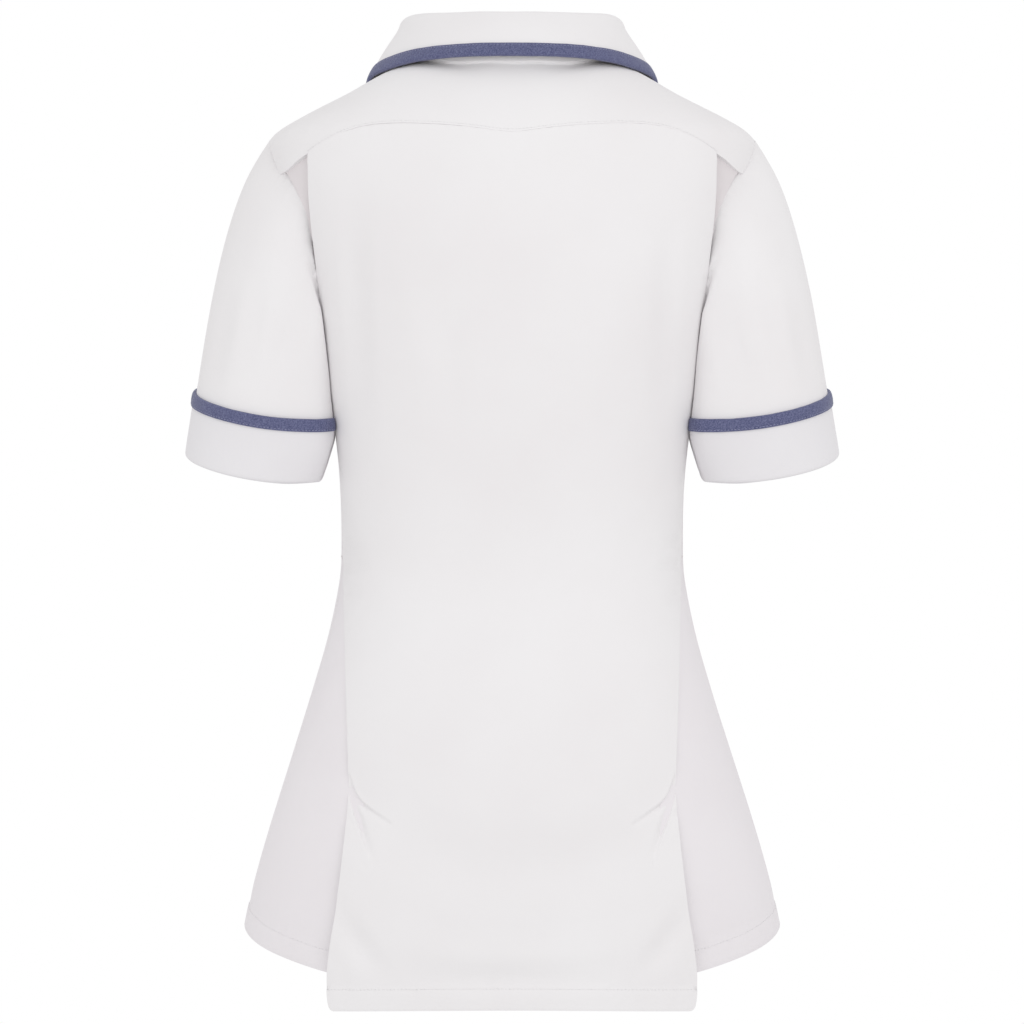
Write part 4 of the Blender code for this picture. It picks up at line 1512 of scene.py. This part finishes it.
BACK_CREASES = (
    Crease(((0.118, 0.05, -0.100), (0.122, 0.05, -0.190), (0.116, 0.05, -0.330)), 0.020, 0.0022),
    Crease(((-0.120, 0.05, -0.110), (-0.121, 0.05, -0.200), (-0.118, 0.05, -0.310)), 0.019, 0.0020),
    Crease(((0.066, 0.06, -0.150), (0.050, 0.06, -0.250), (0.046, 0.06, -0.335)), 0.026, 0.0018),
    Crease(((-0.060, 0.06, -0.170), (-0.048, 0.06, -0.250), (-0.042, 0.06, -0.345)), 0.024, 0.0017),
    Crease(((0.010, 0.06, -0.260), (-0.006, 0.06, -0.350), (0.004, 0.06, -0.450)), 0.030, 0.0012),
    Crease(((0.134, 0.03, -0.393), (0.126, 0.05, -0.396), (0.115, 0.05, -0.395)), 0.0080, 0.0016, start=1.0),
    Crease(((-0.134, 0.03, -0.391), (-0.124, 0.05, -0.394), (-0.117, 0.05, -0.395)), 0.008, 0.0014, start=1.0),
    Crease(((0.134, 0.03, -0.408), (0.125, 0.05, -0.410), (0.112, 0.05, -0.409)), 0.0085, 0.0018, start=1.0),
    Crease(((-0.134, 0.03, -0.409), (-0.126, 0.05, -0.411), (-0.113, 0.05, -0.412)), 0.0085, 0.0017, start=1.0),
    Crease(((0.133, 0.03, -0.432), (0.126, 0.05, -0.434), (0.119, 0.05, -0.433)), 0.0060, 0.0011, start=1.0),
    Crease(((-0.133, 0.03, -0.434), (-0.126, 0.05, -0.435), (-0.120, 0.05, -0.433)), 0.006, 0.0010, start=1.0),
)


FLARE_FROM = -0.600
FLARE_HEIGHT = 0.150
FOLD_FROM = 0.124
FOLD_SPAN = 0.026
FOLD_HEIGHTS = ((-0.330, -0.290, -0.270), (0.0, 0.5, 1.0))
FOLD_BACK = 0.0030
FOLD_BACK_HEIGHTS = ((-0.215, -0.160, -0.120), (1.0, 0.5, 0.0))
BACK_HEM = -0.735
PLEAT_OUTER = 0.158
PLEAT_FOOT = -0.400
PLEAT_TOP = -0.112
PLEAT_RISE = (0.0, 0.0010, 0.0030)


@dataclass
class Back:
    """The vented back panel and the two pleats beside it.

    Attributes:
        finishes: The tunic's finishes.
        flare: How much the flap spreads at its hem, as a share of its width.
        fold_out: How far its folded edges stand out beside the sleeves.
    """

    finishes: Finishes
    flare: float = 0.018
    fold_out: float = 0.0018
    panel: ClothPiece = field(init=False)
    pleats: dict[Side, ClothPiece] = field(init=False)

    def __post_init__(self) -> None:
        """Set out the pieces."""
        self.panel = ClothPiece(
            "back_panel", (0.42, 0.72), 0.255, ("yoke",),
            creases=BACK_CREASES + VENT_CREASES + DRAPE_CREASES + FLAP_CREASES,
        )
        self.pleats = {
            side: ClothPiece(
                f"pleat_{side.value}", (0.05, 0.34), 0.015, ("yoke",), levels=2, rumple=(0.0003, 0.05)
            )
            for side in Side
        }

    def build(self) -> None:
        """Shape the panel and pleats."""
        self.panel.open()
        points = points_of(self.panel.piece)
        z = points[:, 2]
        points[:, 0] *= 1 + self.flare * share_of((FLARE_FROM - z) / FLARE_HEIGHT)
        beside = eased((np.abs(points[:, 0]) - FOLD_FROM) / FOLD_SPAN) * np.interp(z, *FOLD_HEIGHTS)
        points[:, 0] += np.sign(points[:, 0]) * self.fold_out * beside
        points[:, 1] += FOLD_BACK * beside * np.interp(z, *FOLD_BACK_HEIGHTS)
        self.panel.move_to(points)
        for pleat in self.pleats.values():
            pleat.open()
            points = points_of(pleat.piece)
            outer = share_of((np.abs(points[:, 0]) - PLEAT_OUTER) / 0.007)
            top = share_of((points[:, 2] - PLEAT_TOP) / 0.020) * outer
            pleat.move_to(points + top[:, None] * PLEAT_RISE)
        self.panel.pucker(self.panel.edge("yoke", reach=0.002), Puckers(0.011, 0.00022, 0.006, 1.3))
        for side, seed in ((Side.LEFT, 2.1), (Side.RIGHT, 4.6)):
            seam = self.panel.edge(f"front_{side.value}", reach=0.0022)
            self.panel.pucker(seam, Puckers(0.013, 0.00030, 0.009, seed))
        self.panel.stand_hem(self.hem_line())
        self.panel.pucker(self.hem_line(), Puckers(0.017, 0.00030, 0.010, 0.4))

    def hem_line(self) -> Array:
        """The line where the hem is sewn."""
        low = level_run(self.panel.piece, lambda p: p[:, 2] < BACK_HEM)
        return run_on(self.panel.surface.inset(low, HEM_DEPTH), self.panel.surface, 0.010)

    def dress(self) -> None:
        """Sew the hem and finish the panel."""
        lines = [self.hem_line()]
        thread = self.finishes.white_thread
        hem = sew("back_hem_stitches", self.panel.surface, lines, StitchKind.TOPSTITCH, thread)
        self.panel.tuck("yoke", drop=0.0016)
        self.panel.finish(self.finishes.twill, [hem])

    def dress_pleats(self, covers: Sequence[ClothPiece]) -> None:
        """Run the pleats on under what lies over them, and finish them.

        Args:
            covers: The pieces that lie over them.
        """
        top = Beside(("yoke",), 0.006)
        for pleat in self.pleats.values():
            tuck_edge(pleat.piece, lambda p: top(p) & (np.abs(p[:, 0]) > PLEAT_OUTER), 0.0006, 0.005, 0.0004)
            tuck_edge(pleat.piece, lambda p: p[:, 2] < PLEAT_FOOT, 0.0006, 0.014, 0.0004)
            pleat.read()
            for cover in covers:
                pleat.keep_under(cover)
            # The pleats' colour is painted shade: the same twill made darker for the recessed fold.
            pleat.finish(self.finishes.pleat_twill)


YOKE_CORNER = (0.181, -0.092)
CORNER_SPAN = (0.010, 0.014)
CORNER_OUT = 0.0007
YOKE_OVER_PLEAT = 0.1605


@dataclass
class Yoke:
    """The double yoke over the shoulders.

    Attributes:
        finishes: The tunic's finishes.
        corner_drop: How far its lower corners hang at the back.
    """

    finishes: Finishes
    corner_drop: float = 0.0045
    panel: ClothPiece = field(init=False)

    def __post_init__(self) -> None:
        """Set out the piece."""
        self.panel = ClothPiece("yoke", (0.40, 0.30), 0.060, ("collar",), rumple=(0.0005, 0.06))

    def build(self) -> None:
        """Shape the yoke, its lower corners hanging over the armholes, puckered at its seams."""
        self.panel.open()
        points = points_of(self.panel.piece)
        x = (np.abs(points[:, 0]) - YOKE_CORNER[0]) / CORNER_SPAN[0]
        z = (points[:, 2] - YOKE_CORNER[1]) / CORNER_SPAN[1]
        corner = np.exp(-(x**2) - z**2) * (points[:, 1] > 0.01)
        points += normals_of(self.panel.piece) * (CORNER_OUT * corner)[:, None]
        seam = self.panel.edge("collar", reach=NECK_REACH)
        points[:, 2] -= self.corner_drop * corner + neck_dip(points, seam)
        self.panel.move_to(points)
        self.panel.pucker(self.back_seam(), Puckers(0.012, 0.00016, 0.005, 0.9))
        for side, seed in ((Side.LEFT, 5.2), (Side.RIGHT, 3.7)):
            head = self.panel.edge(f"sleeve_{side.value}", reach=0.003)
            self.panel.pucker(head, Puckers(0.0085, 0.00030, 0.007, seed))

    def back_seam(self) -> Array:
        """The scalloped seam over back panel and pleats."""
        return self.panel.edge("back_panel", "pleat_left", "pleat_right")

    def dress(self) -> None:
        """Topstitch the seams and finish the yoke."""
        fronts = [self.panel.edge(f"front_{side.value}", reach=0.002) for side in Side]
        lines = [self.panel.surface.inset(seam, YOKE_SEAM_STITCH) for seam in (self.back_seam(), *fronts)]
        thread = self.finishes.white_thread
        stitches = sew("yoke_stitches", self.panel.surface, lines, StitchKind.TOPSTITCH, thread)
        pleats = Beside(("pleat_left", "pleat_right"), 0.006)
        over = YOKE_OVER_PLEAT
        tuck_edge(self.panel.piece, lambda p: pleats(p) & (np.abs(p[:, 0]) > over), 0.0030, 0.0015, 0.0001)
        self.panel.finish(self.finishes.twill, [stitches])


FRONT_CREASES = (
    Crease(((0.120, -0.02, -0.505), (0.132, -0.03, -0.600), (0.136, -0.03, -0.685)), 0.022, 0.0026, end=0.8),
    Crease(((0.095, -0.08, -0.470), (0.104, -0.08, -0.590), (0.108, -0.08, -0.692)), 0.030, 0.0032, end=0.9),
    Crease(((0.058, -0.09, -0.520), (0.060, -0.09, -0.620), (0.066, -0.09, -0.698)), 0.026, 0.0022, end=0.9),
    Crease(((0.125, -0.05, -0.260), (0.110, -0.07, -0.330), (0.090, -0.08, -0.390)), 0.026, 0.0024),
    Crease(((0.130, -0.04, -0.405), (0.112, -0.06, -0.414), (0.088, -0.07, -0.412)), 0.011, 0.0018, start=0.8),
    Crease(((0.132, -0.03, -0.386), (0.118, -0.06, -0.388), (0.100, -0.07, -0.380)), 0.010, 0.0014, start=0.8),
    Crease(((0.060, -0.08, -0.160), (0.056, -0.09, -0.230), (0.064, -0.09, -0.290)), 0.024, 0.0016),
)


@dataclass
class Button:
    """One four-hole button.

    Attributes:
        node: The solid that it stands for.
        radius: Its radius.
        height: Its thickness.
        rim: Width of its raised rim.
        dish: How far its face lies below the rim, and the width of the slope between them.
        edge: Radius of its rounded edges.
        hole: Radius of each hole.
        spread: How far each hole lies from the middle, both ways.
    """

    node: str
    radius: float = 0.0075
    height: float = 0.0028
    rim: float = 0.0016
    dish: tuple[float, float] = (0.0009, 0.0005)
    edge: float = 0.0004
    hole: float = 0.0009
    spread: float = 0.0015

    @property
    def seat(self) -> Matrix:
        """Where it sits: its middle, and its face's direction as Z."""
        points = np.array([vertex.co[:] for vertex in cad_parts[self.node].data.vertices])
        middle = (points.min(axis=0) + points.max(axis=0)) / 2
        _, _, axes = np.linalg.svd(points - points.mean(axis=0), full_matrices=False)
        out = Vector(axes[2])
        if out.y > 0:
            out = -out
        upright = out.to_track_quat("Z", "Y").to_matrix().to_4x4()
        return Matrix.Translation(Vector(middle)) @ upright

    def model(self) -> Piece:
        """The button at the origin, facing up."""
        settle()
        bpy.ops.mesh.primitive_cylinder_add(vertices=48, radius=self.radius, depth=self.height)
        piece = bpy.context.object
        for polygon in piece.data.polygons:
            polygon.select = polygon.normal.z > 0.9
        switch("EDIT")
        bpy.ops.mesh.select_mode(type="FACE")
        bpy.ops.mesh.inset(thickness=self.rim)
        bpy.ops.mesh.inset(thickness=self.dish[1])
        bpy.ops.transform.translate(value=(0, 0, -self.dish[0]))
        pick("DESELECT")
        switch("OBJECT")
        corner = math.radians(40)
        apply_modifier(piece, "BEVEL", width=self.edge, segments=3, limit_method="ANGLE", angle_limit=corner)
        for x, y in ((1, 1), (1, -1), (-1, 1), (-1, -1)):
            settle()
            place = (self.spread * x, self.spread * y, 0)
            bpy.ops.mesh.primitive_cylinder_add(vertices=20, radius=self.hole, depth=0.02, location=place)
            drill = bpy.context.object
            apply_modifier(piece, "BOOLEAN", operation="DIFFERENCE", object=drill, solver="EXACT")
            discard(drill)
        activate(piece)
        bpy.ops.object.shade_smooth_by_angle(angle=math.radians(35))
        return piece


FRONT_HEM = -0.68
LAP_EDGE = (-0.0125, -0.70, -0.112)
LAP_STITCH = 0.004


@dataclass
class Fronts:
    """The two fronts, their buttons and buttonholes.

    Attributes:
        finishes: The tunic's finishes.
        button_count: How many buttons close the front.
        hole_side: How far each row of buttonhole stitches lies beside the slit.
        hole_span: How far the rows reach above and below the button's middle.
        thread_height: How high the thread lies over the button's middle.
    """

    finishes: Finishes
    button_count: int = 6
    hole_side: float = 0.0012
    hole_span: tuple[float, float] = (0.0075, -0.0105)
    thread_height: float = 0.0007
    panels: dict[Side, ClothPiece] = field(init=False)

    def __post_init__(self) -> None:
        """Set out the pieces."""
        self.panels = {
            side: ClothPiece(
                f"front_{side.value}", (0.36, 0.66), 0.185, ("yoke",),
                creases=tuple(crease.on(side) for crease in FRONT_CREASES),
            )
            for side in Side
        }

    def build(self) -> None:
        """Shape the fronts, puckered at hem and side seam."""
        for side, seed in ((Side.LEFT, 2.6), (Side.RIGHT, 0.7)):
            panel = self.panels[side]
            panel.open()
            panel.stand_hem(self.hem_line(side))
            panel.pucker(self.hem_line(side), Puckers(0.009, 0.00055, 0.012, seed))
            panel.pucker(panel.edge("back_panel", reach=0.003), Puckers(0.012, 0.00030, 0.008, seed + 1.0))

    def hem_line(self, side: Side) -> Array:
        """The line where one front's hem is sewn."""
        panel = self.panels[side]
        low = level_run(panel.piece, lambda p: p[:, 2] < FRONT_HEM)
        return run_on(panel.surface.inset(low, HEM_DEPTH), panel.surface, 0.012)

    def lap_line(self, side: Side) -> Array:
        """The line of stitches beside one front's free edge."""
        panel = self.panels[side]
        beyond, foot, top = LAP_EDGE
        free = edge_run(
            panel.piece, lambda p: (side.sign * p[:, 0] < beyond) & (p[:, 2] > foot) & (p[:, 2] < top)
        )
        return panel.surface.inset(free, LAP_STITCH)

    def dress(self) -> None:
        """Sew hems and plackets, fit the buttons and finish the fronts."""
        threads = {}
        for side, panel in self.panels.items():
            lines = [self.hem_line(side), self.lap_line(side)]
            name, thread = f"front_{side.value}_stitches", self.finishes.white_thread
            threads[side] = [sew(name, panel.surface, lines, StitchKind.TOPSTITCH, thread)]
        threads[Side.RIGHT].extend(self.fit_buttons())
        for side, panel in self.panels.items():
            shoulder = Beside(("yoke",), 0.0065)
            flank = Beside((f"pleat_{side.value}", "back_panel"), 0.0025)
            tuck_edge(panel.piece, shoulder, 0.0005, 0.007, 0.0007)
            tuck_edge(panel.piece, lambda p: flank(p) & ~shoulder(p), 0.0015, 0.005, 0.0002)
            # The fronts' colour is a pinker twill, made darker as painted shade.
            panel.finish(self.finishes.front_twill, threads[side])

    def fit_buttons(self) -> list[Piece]:
        """Copy the button to its places, sew each on and work its buttonhole.

        Returns:
            The buttons, their thread and the buttonholes.
        """
        pattern = Button("button_1").model()
        surface = self.panels[Side.RIGHT].surface
        made = []
        crosses = []
        holes = []
        for number in range(1, self.button_count + 1):
            button = Button(f"button_{number}")
            seat = button.seat
            disc = add_piece(f"{button.node}_disc", pattern.data.copy())
            disc.data.transform(seat)
            dress(disc, self.finishes.button)
            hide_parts(button.node)
            made.append(disc)
            across = seat.to_3x3()
            middle = seat.translation + across @ Vector((0, 0, self.thread_height))
            for y in (1, -1):
                way = across @ (Vector((1, y, 0)) * button.spread)
                crosses.append((middle + way, middle - way, across @ Vector((0, 0, 1))))
            x, _, z = seat.translation
            for side in (x - self.hole_side, x + self.hole_side):
                ends = np.array([(side, -0.2, z + end) for end in self.hole_span])
                holes.append(surface.straight_behind(ends))
        discard(pattern)
        thread = self.finishes.white_thread
        worked = sew("buttonhole_stitches", surface, holes, StitchKind.BUTTONHOLE, thread)
        return made + [worked, self.button_threads(crosses)]

    def button_threads(self, crosses: Sequence[tuple[Vector, Vector, Vector]]) -> Piece:
        """The crossed threads over the buttons' holes, as one piece.

        Args:
            crosses: Ends and upward direction of each thread.

        Returns:
            The new piece.
        """
        bar = rod(8, 0.00045, 1.0)
        parts = []
        for start, end, up in crosses:
            way = (end - start).normalized()
            turn = Matrix((way, up.cross(way), up)).transposed().to_4x4()
            stretch = Matrix.Diagonal(((end - start).length + 0.0008, 1.0, 0.7, 1.0))
            parts.append(add_piece("button_thread", bar.data.copy()))
            parts[-1].data.transform(Matrix.Translation((start + end) / 2) @ turn @ stretch)
        discard(bar)
        settle()
        for part in parts:
            part.select_set(True)
        bpy.context.view_layer.objects.active = parts[0]
        bpy.ops.object.join()
        joined = bpy.context.object
        joined.name = "button_threads"
        joined.data.shade_smooth()
        dress(joined, self.finishes.white_thread)
        return joined


SLEEVE_CREASES = (
    Crease(((0.196, 0.05, -0.170), (0.206, 0.06, -0.220), (0.214, 0.06, -0.272)), 0.018, 0.0022),
    Crease(((0.176, 0.04, -0.190), (0.186, 0.05, -0.240), (0.190, 0.06, -0.285)), 0.016, 0.0018),
    Crease(((0.222, 0.02, -0.190), (0.236, 0.02, -0.245), (0.240, 0.02, -0.280)), 0.018, 0.0016),
    Crease(((0.192, -0.05, -0.160), (0.204, -0.06, -0.215), (0.206, -0.06, -0.275)), 0.020, 0.0024),
    Crease(((0.216, -0.04, -0.180), (0.226, -0.05, -0.230), (0.228, -0.05, -0.280)), 0.016, 0.0016),
)


INNER_HALF = (0.205, 0.048)
CUFF_TAPER = 0.0045
TAPER_HEIGHTS = (-0.305, 0.035)
LEVEL_HEIGHTS = (-0.190, 0.100)
LEVEL_DROP = ((0.147, 0.180, 0.225, 0.262), (0.0055, 0.0052, 0.0030, 0.0010))
LEAN_MOST = 0.014
LEAN_CLEAR = 0.0002
LEAN_BEHIND = (0.004, 0.018)
LEAN_HEIGHTS = ((-0.365, -0.345, -0.315, -0.215, -0.150), (0.0, 0.6, 1.0, 1.0, 0.0))
INNER_LINE = (
    (-0.3376, -0.3250, -0.3010, -0.2934, -0.2774, -0.2454, -0.2134, -0.1814, -0.1494),
    (0.1504, 0.1472, 0.1428, 0.1421, 0.1434, 0.1469, 0.1506, 0.1552, 0.1600),
)
HEAD_LAP = (
    (-0.200, -0.181, -0.165, -0.149, -0.135, -0.125, -0.115, -0.103, -0.097),
    (0.0, 0.0006, 0.0006, 0.0008, 0.0024, 0.0036, 0.0031, 0.0022, 0.0008),
)
HEAD_REACH = 0.012
HEAD_BEHIND = (0.010, 0.015)


@dataclass
class Sleeve:
    """One sleeve with its turned cuff and the cuff's binding.

    Attributes:
        side: Which sleeve it is.
        finishes: The tunic's finishes.
        body: The pieces that it hangs beside.
    """

    side: Side
    finishes: Finishes
    body: tuple[ClothPiece, ...]
    tube: ClothPiece = field(init=False)
    cuff: ClothPiece = field(init=False)

    def __post_init__(self) -> None:
        """Set out the pieces."""
        grain = Grain.LEFT_SLEEVE if self.side is Side.LEFT else Grain.RIGHT_SLEEVE
        creases = tuple(crease.on(self.side) for crease in SLEEVE_CREASES)
        name = f"sleeve_{self.side.value}"
        self.tube = ClothPiece(
            name, (0.40, 0.24), 0.070, ("yoke",), grain=grain, rumple=(0.0008, 0.05), creases=creases
        )
        self.cuff = ClothPiece(
            f"cuff_{self.side.value}", (0.40, 0.06), 0.022, (name,), levels=2, grain=grain,
            held="folded", rumple=(0.0005, 0.035),
        )

    @property
    def neighbours(self) -> tuple[str, ...]:
        """The solids that its head is sewn to."""
        return ("yoke", "back_panel", f"pleat_{self.side.value}", f"front_{self.side.value}")

    def settle_on_body(self, part: ClothPiece) -> None:
        """Let the inside of sleeve or cuff lie against the body's back corner, and level its lower end."""
        points = points_of(part.piece)
        x = self.side.sign * points[:, 0]
        z = points[:, 2].copy()
        inner = eased((INNER_HALF[0] - x) / INNER_HALF[1])
        taper = CUFF_TAPER * share_of((TAPER_HEIGHTS[0] - z) / TAPER_HEIGHTS[1])
        points[:, 0] += self.side.sign * (inner * taper - self.room_beside(part))
        points[:, 2] -= eased((LEVEL_HEIGHTS[0] - z) / LEVEL_HEIGHTS[1]) * np.interp(x, *LEVEL_DROP)
        part.move_to(points)

    def room_beside(self, part: ClothPiece) -> Array:
        """How far each point of sleeve or cuff can move in towards the body before it meets it.

        Args:
            part: The sleeve or cuff.

        Returns:
            Distances, 0 where the sleeve doesn't face the body.
        """
        way = Vector((-self.side.sign, 0.0, 0.0))
        points = points_of(part.piece)
        room = np.full(len(points), LEAN_MOST)
        for at, point in enumerate(points):
            for panel in self.body:
                clear = LEAN_CLEAR + panel.surface.lift + part.surface.lift
                _, _, _, distance = panel.surface.tree.ray_cast(Vector(point), way, LEAN_MOST + clear)
                if distance is not None:
                    room[at] = min(room[at], max(distance - clear, 0.0))
        faces = eased(-self.side.sign * normals_of(part.piece)[:, 0] / 0.75)
        behind = share_of((points[:, 1] - LEAN_BEHIND[0]) / LEAN_BEHIND[1])
        level = np.interp(points[:, 2], *LEAN_HEIGHTS)
        short_of = self.side.sign * points[:, 0] - np.interp(points[:, 2], *INNER_LINE)
        return np.minimum(room * faces * behind * level, np.maximum(short_of, 0.0))

    def build(self) -> None:
        """Shape sleeve and cuff, puckered at the sleeve's head."""
        self.tube.open()
        self.cuff.open()
        for part in (self.tube, self.cuff):
            self.settle_on_body(part)
        head = self.tube.edge(*self.neighbours, reach=0.006)
        points = points_of(self.tube.piece)
        near = np.exp(-((nearest_on_line(points, head)[0] / HEAD_REACH) ** 2))
        behind = share_of((points[:, 1] - HEAD_BEHIND[0]) / HEAD_BEHIND[1])
        lap = np.interp(points[:, 2], *HEAD_LAP) * near * behind
        self.tube.move_to(points + lap[:, None] * (-self.side.sign, 0.28, 0.0))
        head = self.tube.edge(*self.neighbours, reach=0.007)
        self.tube.pucker(head, Puckers(0.010, 0.00050, 0.010, 1.1 if self.side is Side.LEFT else 6.2))

    def dress(self) -> None:
        """Bind the cuff and finish the pieces."""
        name = f"cuff_band_{self.side.value}"
        Binding(name, (0.016, 0.37), self.cuff, self.tube.grain, edge_reach=0.014).build(self.finishes)
        # The cuff's colour is painted shade: the same twill, darker and cooler.
        self.cuff.finish(self.finishes.cuff_twill)
        self.tube.tuck(*self.neighbours, reach=0.006, drop=0.0014, length=0.006, close=0.0010)
        self.tube.finish(self.finishes.twill)


FALL_HEIGHTS = (0.033, 0.044)
NECK_AXIS = (0.0, 0.012, 0.0)
STAND_STITCH = 0.0028


@dataclass
class Collar:
    """The collar, its stand's fine stitching and its binding.

    Attributes:
        finishes: The tunic's finishes.
        lift: How far the fall's edge rides up at the nape.
        lift_reach: How far to each side it does.
    """

    finishes: Finishes
    lift: float = 0.0020
    lift_reach: float = 0.085
    leaf: ClothPiece = field(init=False)

    def __post_init__(self) -> None:
        """Set out the piece."""
        self.leaf = ClothPiece("collar", (0.56, 0.11), 0.052, ("yoke",), rumple=(0.0004, 0.03))

    def build(self) -> None:
        """Shape the collar."""
        self.leaf.open()
        points = points_of(self.leaf.piece)
        outward = unit(points * (1.0, 1.0, 0.0) - NECK_AXIS)
        falling = share_of(3 * np.einsum("ij,ij->i", normals_of(self.leaf.piece), outward))
        low = share_of((FALL_HEIGHTS[0] - points[:, 2]) / FALL_HEIGHTS[1])
        middle = np.exp(-((points[:, 0] / self.lift_reach) ** 2)) * (points[:, 1] > 0)
        points[:, 2] += self.lift * falling * low * middle
        points[:, 2] -= (1 - falling) * neck_dip(points, self.leaf.edge("yoke", reach=NECK_REACH))
        self.leaf.move_to(points)

    def dress(self) -> None:
        """Bind the collar, stitch its stand and finish it."""
        Binding("collar_band", (0.016, 0.54), self.leaf).build(self.finishes)
        surface = self.leaf.surface
        stand = surface.inset(self.leaf.edge("yoke", reach=NECK_REACH), STAND_STITCH)
        thread = self.finishes.white_thread
        ladder = sew("stand_stitches", surface, [stand], StitchKind.LADDER, thread, under=True)
        self.leaf.tuck("yoke", reach=NECK_REACH, drop=-0.0014, length=0.006, but_not=("collar_band",))
        self.leaf.finish(self.finishes.twill, [ladder])


# Studio


@dataclass(frozen=True)
class Studio:
    """White surroundings, soft light, a pale floor and the photo's camera.

    Attributes:
        distance: The camera's distance from the tunic's middle plane.
        height: The camera's height.
        lens: Its focal length in millimetres, on a 36 mm sensor.
        floor_height: The floor's height.
        surround: Strength of the light from all round.
        lamp_size: Side of each soft light.
        middle: Height of the tunic's middle.
    """

    distance: float = 2.4
    height: float = -0.367
    lens: float = 103.8
    floor_height: float = -1.47
    surround: float = 0.865
    lamp_size: float = 0.9
    middle: float = -0.37

    def build(self) -> None:
        """Set up camera, lights and floor."""
        settle()
        bpy.ops.object.camera_add(location=(0, self.distance, self.height), rotation=(math.pi / 2, 0, math.pi))
        camera = bpy.context.object
        camera.name = "photo_camera"
        camera.data.sensor_width = 36.0
        camera.data.lens = self.lens
        bpy.context.scene.camera = camera
        bpy.context.scene.view_settings.view_transform = "Standard"
        world = bpy.data.worlds.new("white_surround")
        world.use_nodes = True
        self.surround_light(world.node_tree)
        bpy.context.scene.world = world
        self.lamp("key", (-0.8, 1.25, 0.02), 3.2)
        self.lamp("fill", (0.8, 1.25, -0.20), 2.1)
        settle()
        bpy.ops.mesh.primitive_plane_add(size=7.0, location=(0, 0, self.floor_height))
        floor = bpy.context.object
        floor.name = "studio_floor"
        floor.data.materials.append(FloorFinish("floor_paper", (0.86, 0.86, 0.86)).make())

    def surround_light(self, tree: bpy.types.NodeTree) -> None:
        """Light from all round, dimmer than the white that the camera sees behind the tunic."""
        seen = tree.nodes["Background"]
        cast = tree.nodes.new("ShaderNodeBackground")
        for light, strength in ((seen, 1.0), (cast, self.surround)):
            light.inputs["Color"].default_value = (1, 1, 1, 1)
            light.inputs["Strength"].default_value = strength
        path = tree.nodes.new("ShaderNodeLightPath")
        mix = tree.nodes.new("ShaderNodeMixShader")
        tree.links.new(path.outputs["Is Camera Ray"], mix.inputs[0])
        tree.links.new(cast.outputs[0], mix.inputs[1])
        tree.links.new(seen.outputs[0], mix.inputs[2])
        tree.links.new(mix.outputs[0], tree.nodes["World Output"].inputs["Surface"])

    def lamp(self, name: str, place: Place, power: float) -> None:
        """A square soft light, turned to the tunic's middle.

        Args:
            name: The light's name.
            place: Where it stands.
            power: Its power in watts.
        """
        settle()
        bpy.ops.object.light_add(type="AREA", location=place)
        light = bpy.context.object
        light.name = f"{name}_light"
        light.data.shape = "SQUARE"
        light.data.size = self.lamp_size
        light.data.energy = power
        way = Vector((0, 0, self.middle)) - Vector(place)
        light.rotation_euler = way.to_track_quat("-Z", "Y").to_euler()


def main() -> None:
    """Build the tunic part by part, then the studio."""
    finishes = Finishes()
    back = Back(finishes)
    yoke = Yoke(finishes)
    fronts = Fronts(finishes)
    sleeves = [Sleeve(side, finishes, (back.panel, fronts.panels[side])) for side in Side]
    parts = [back, yoke, fronts, *sleeves, Collar(finishes)]
    for part in parts:
        part.build()
        log.info("shaped %s", type(part).__name__)
    back.dress_pleats((back.panel, yoke.panel, *fronts.panels.values()))
    for part in parts:
        part.dress()
        log.info("dressed %s", type(part).__name__)
    Studio().build()


if __name__ == "__main__":
    main()
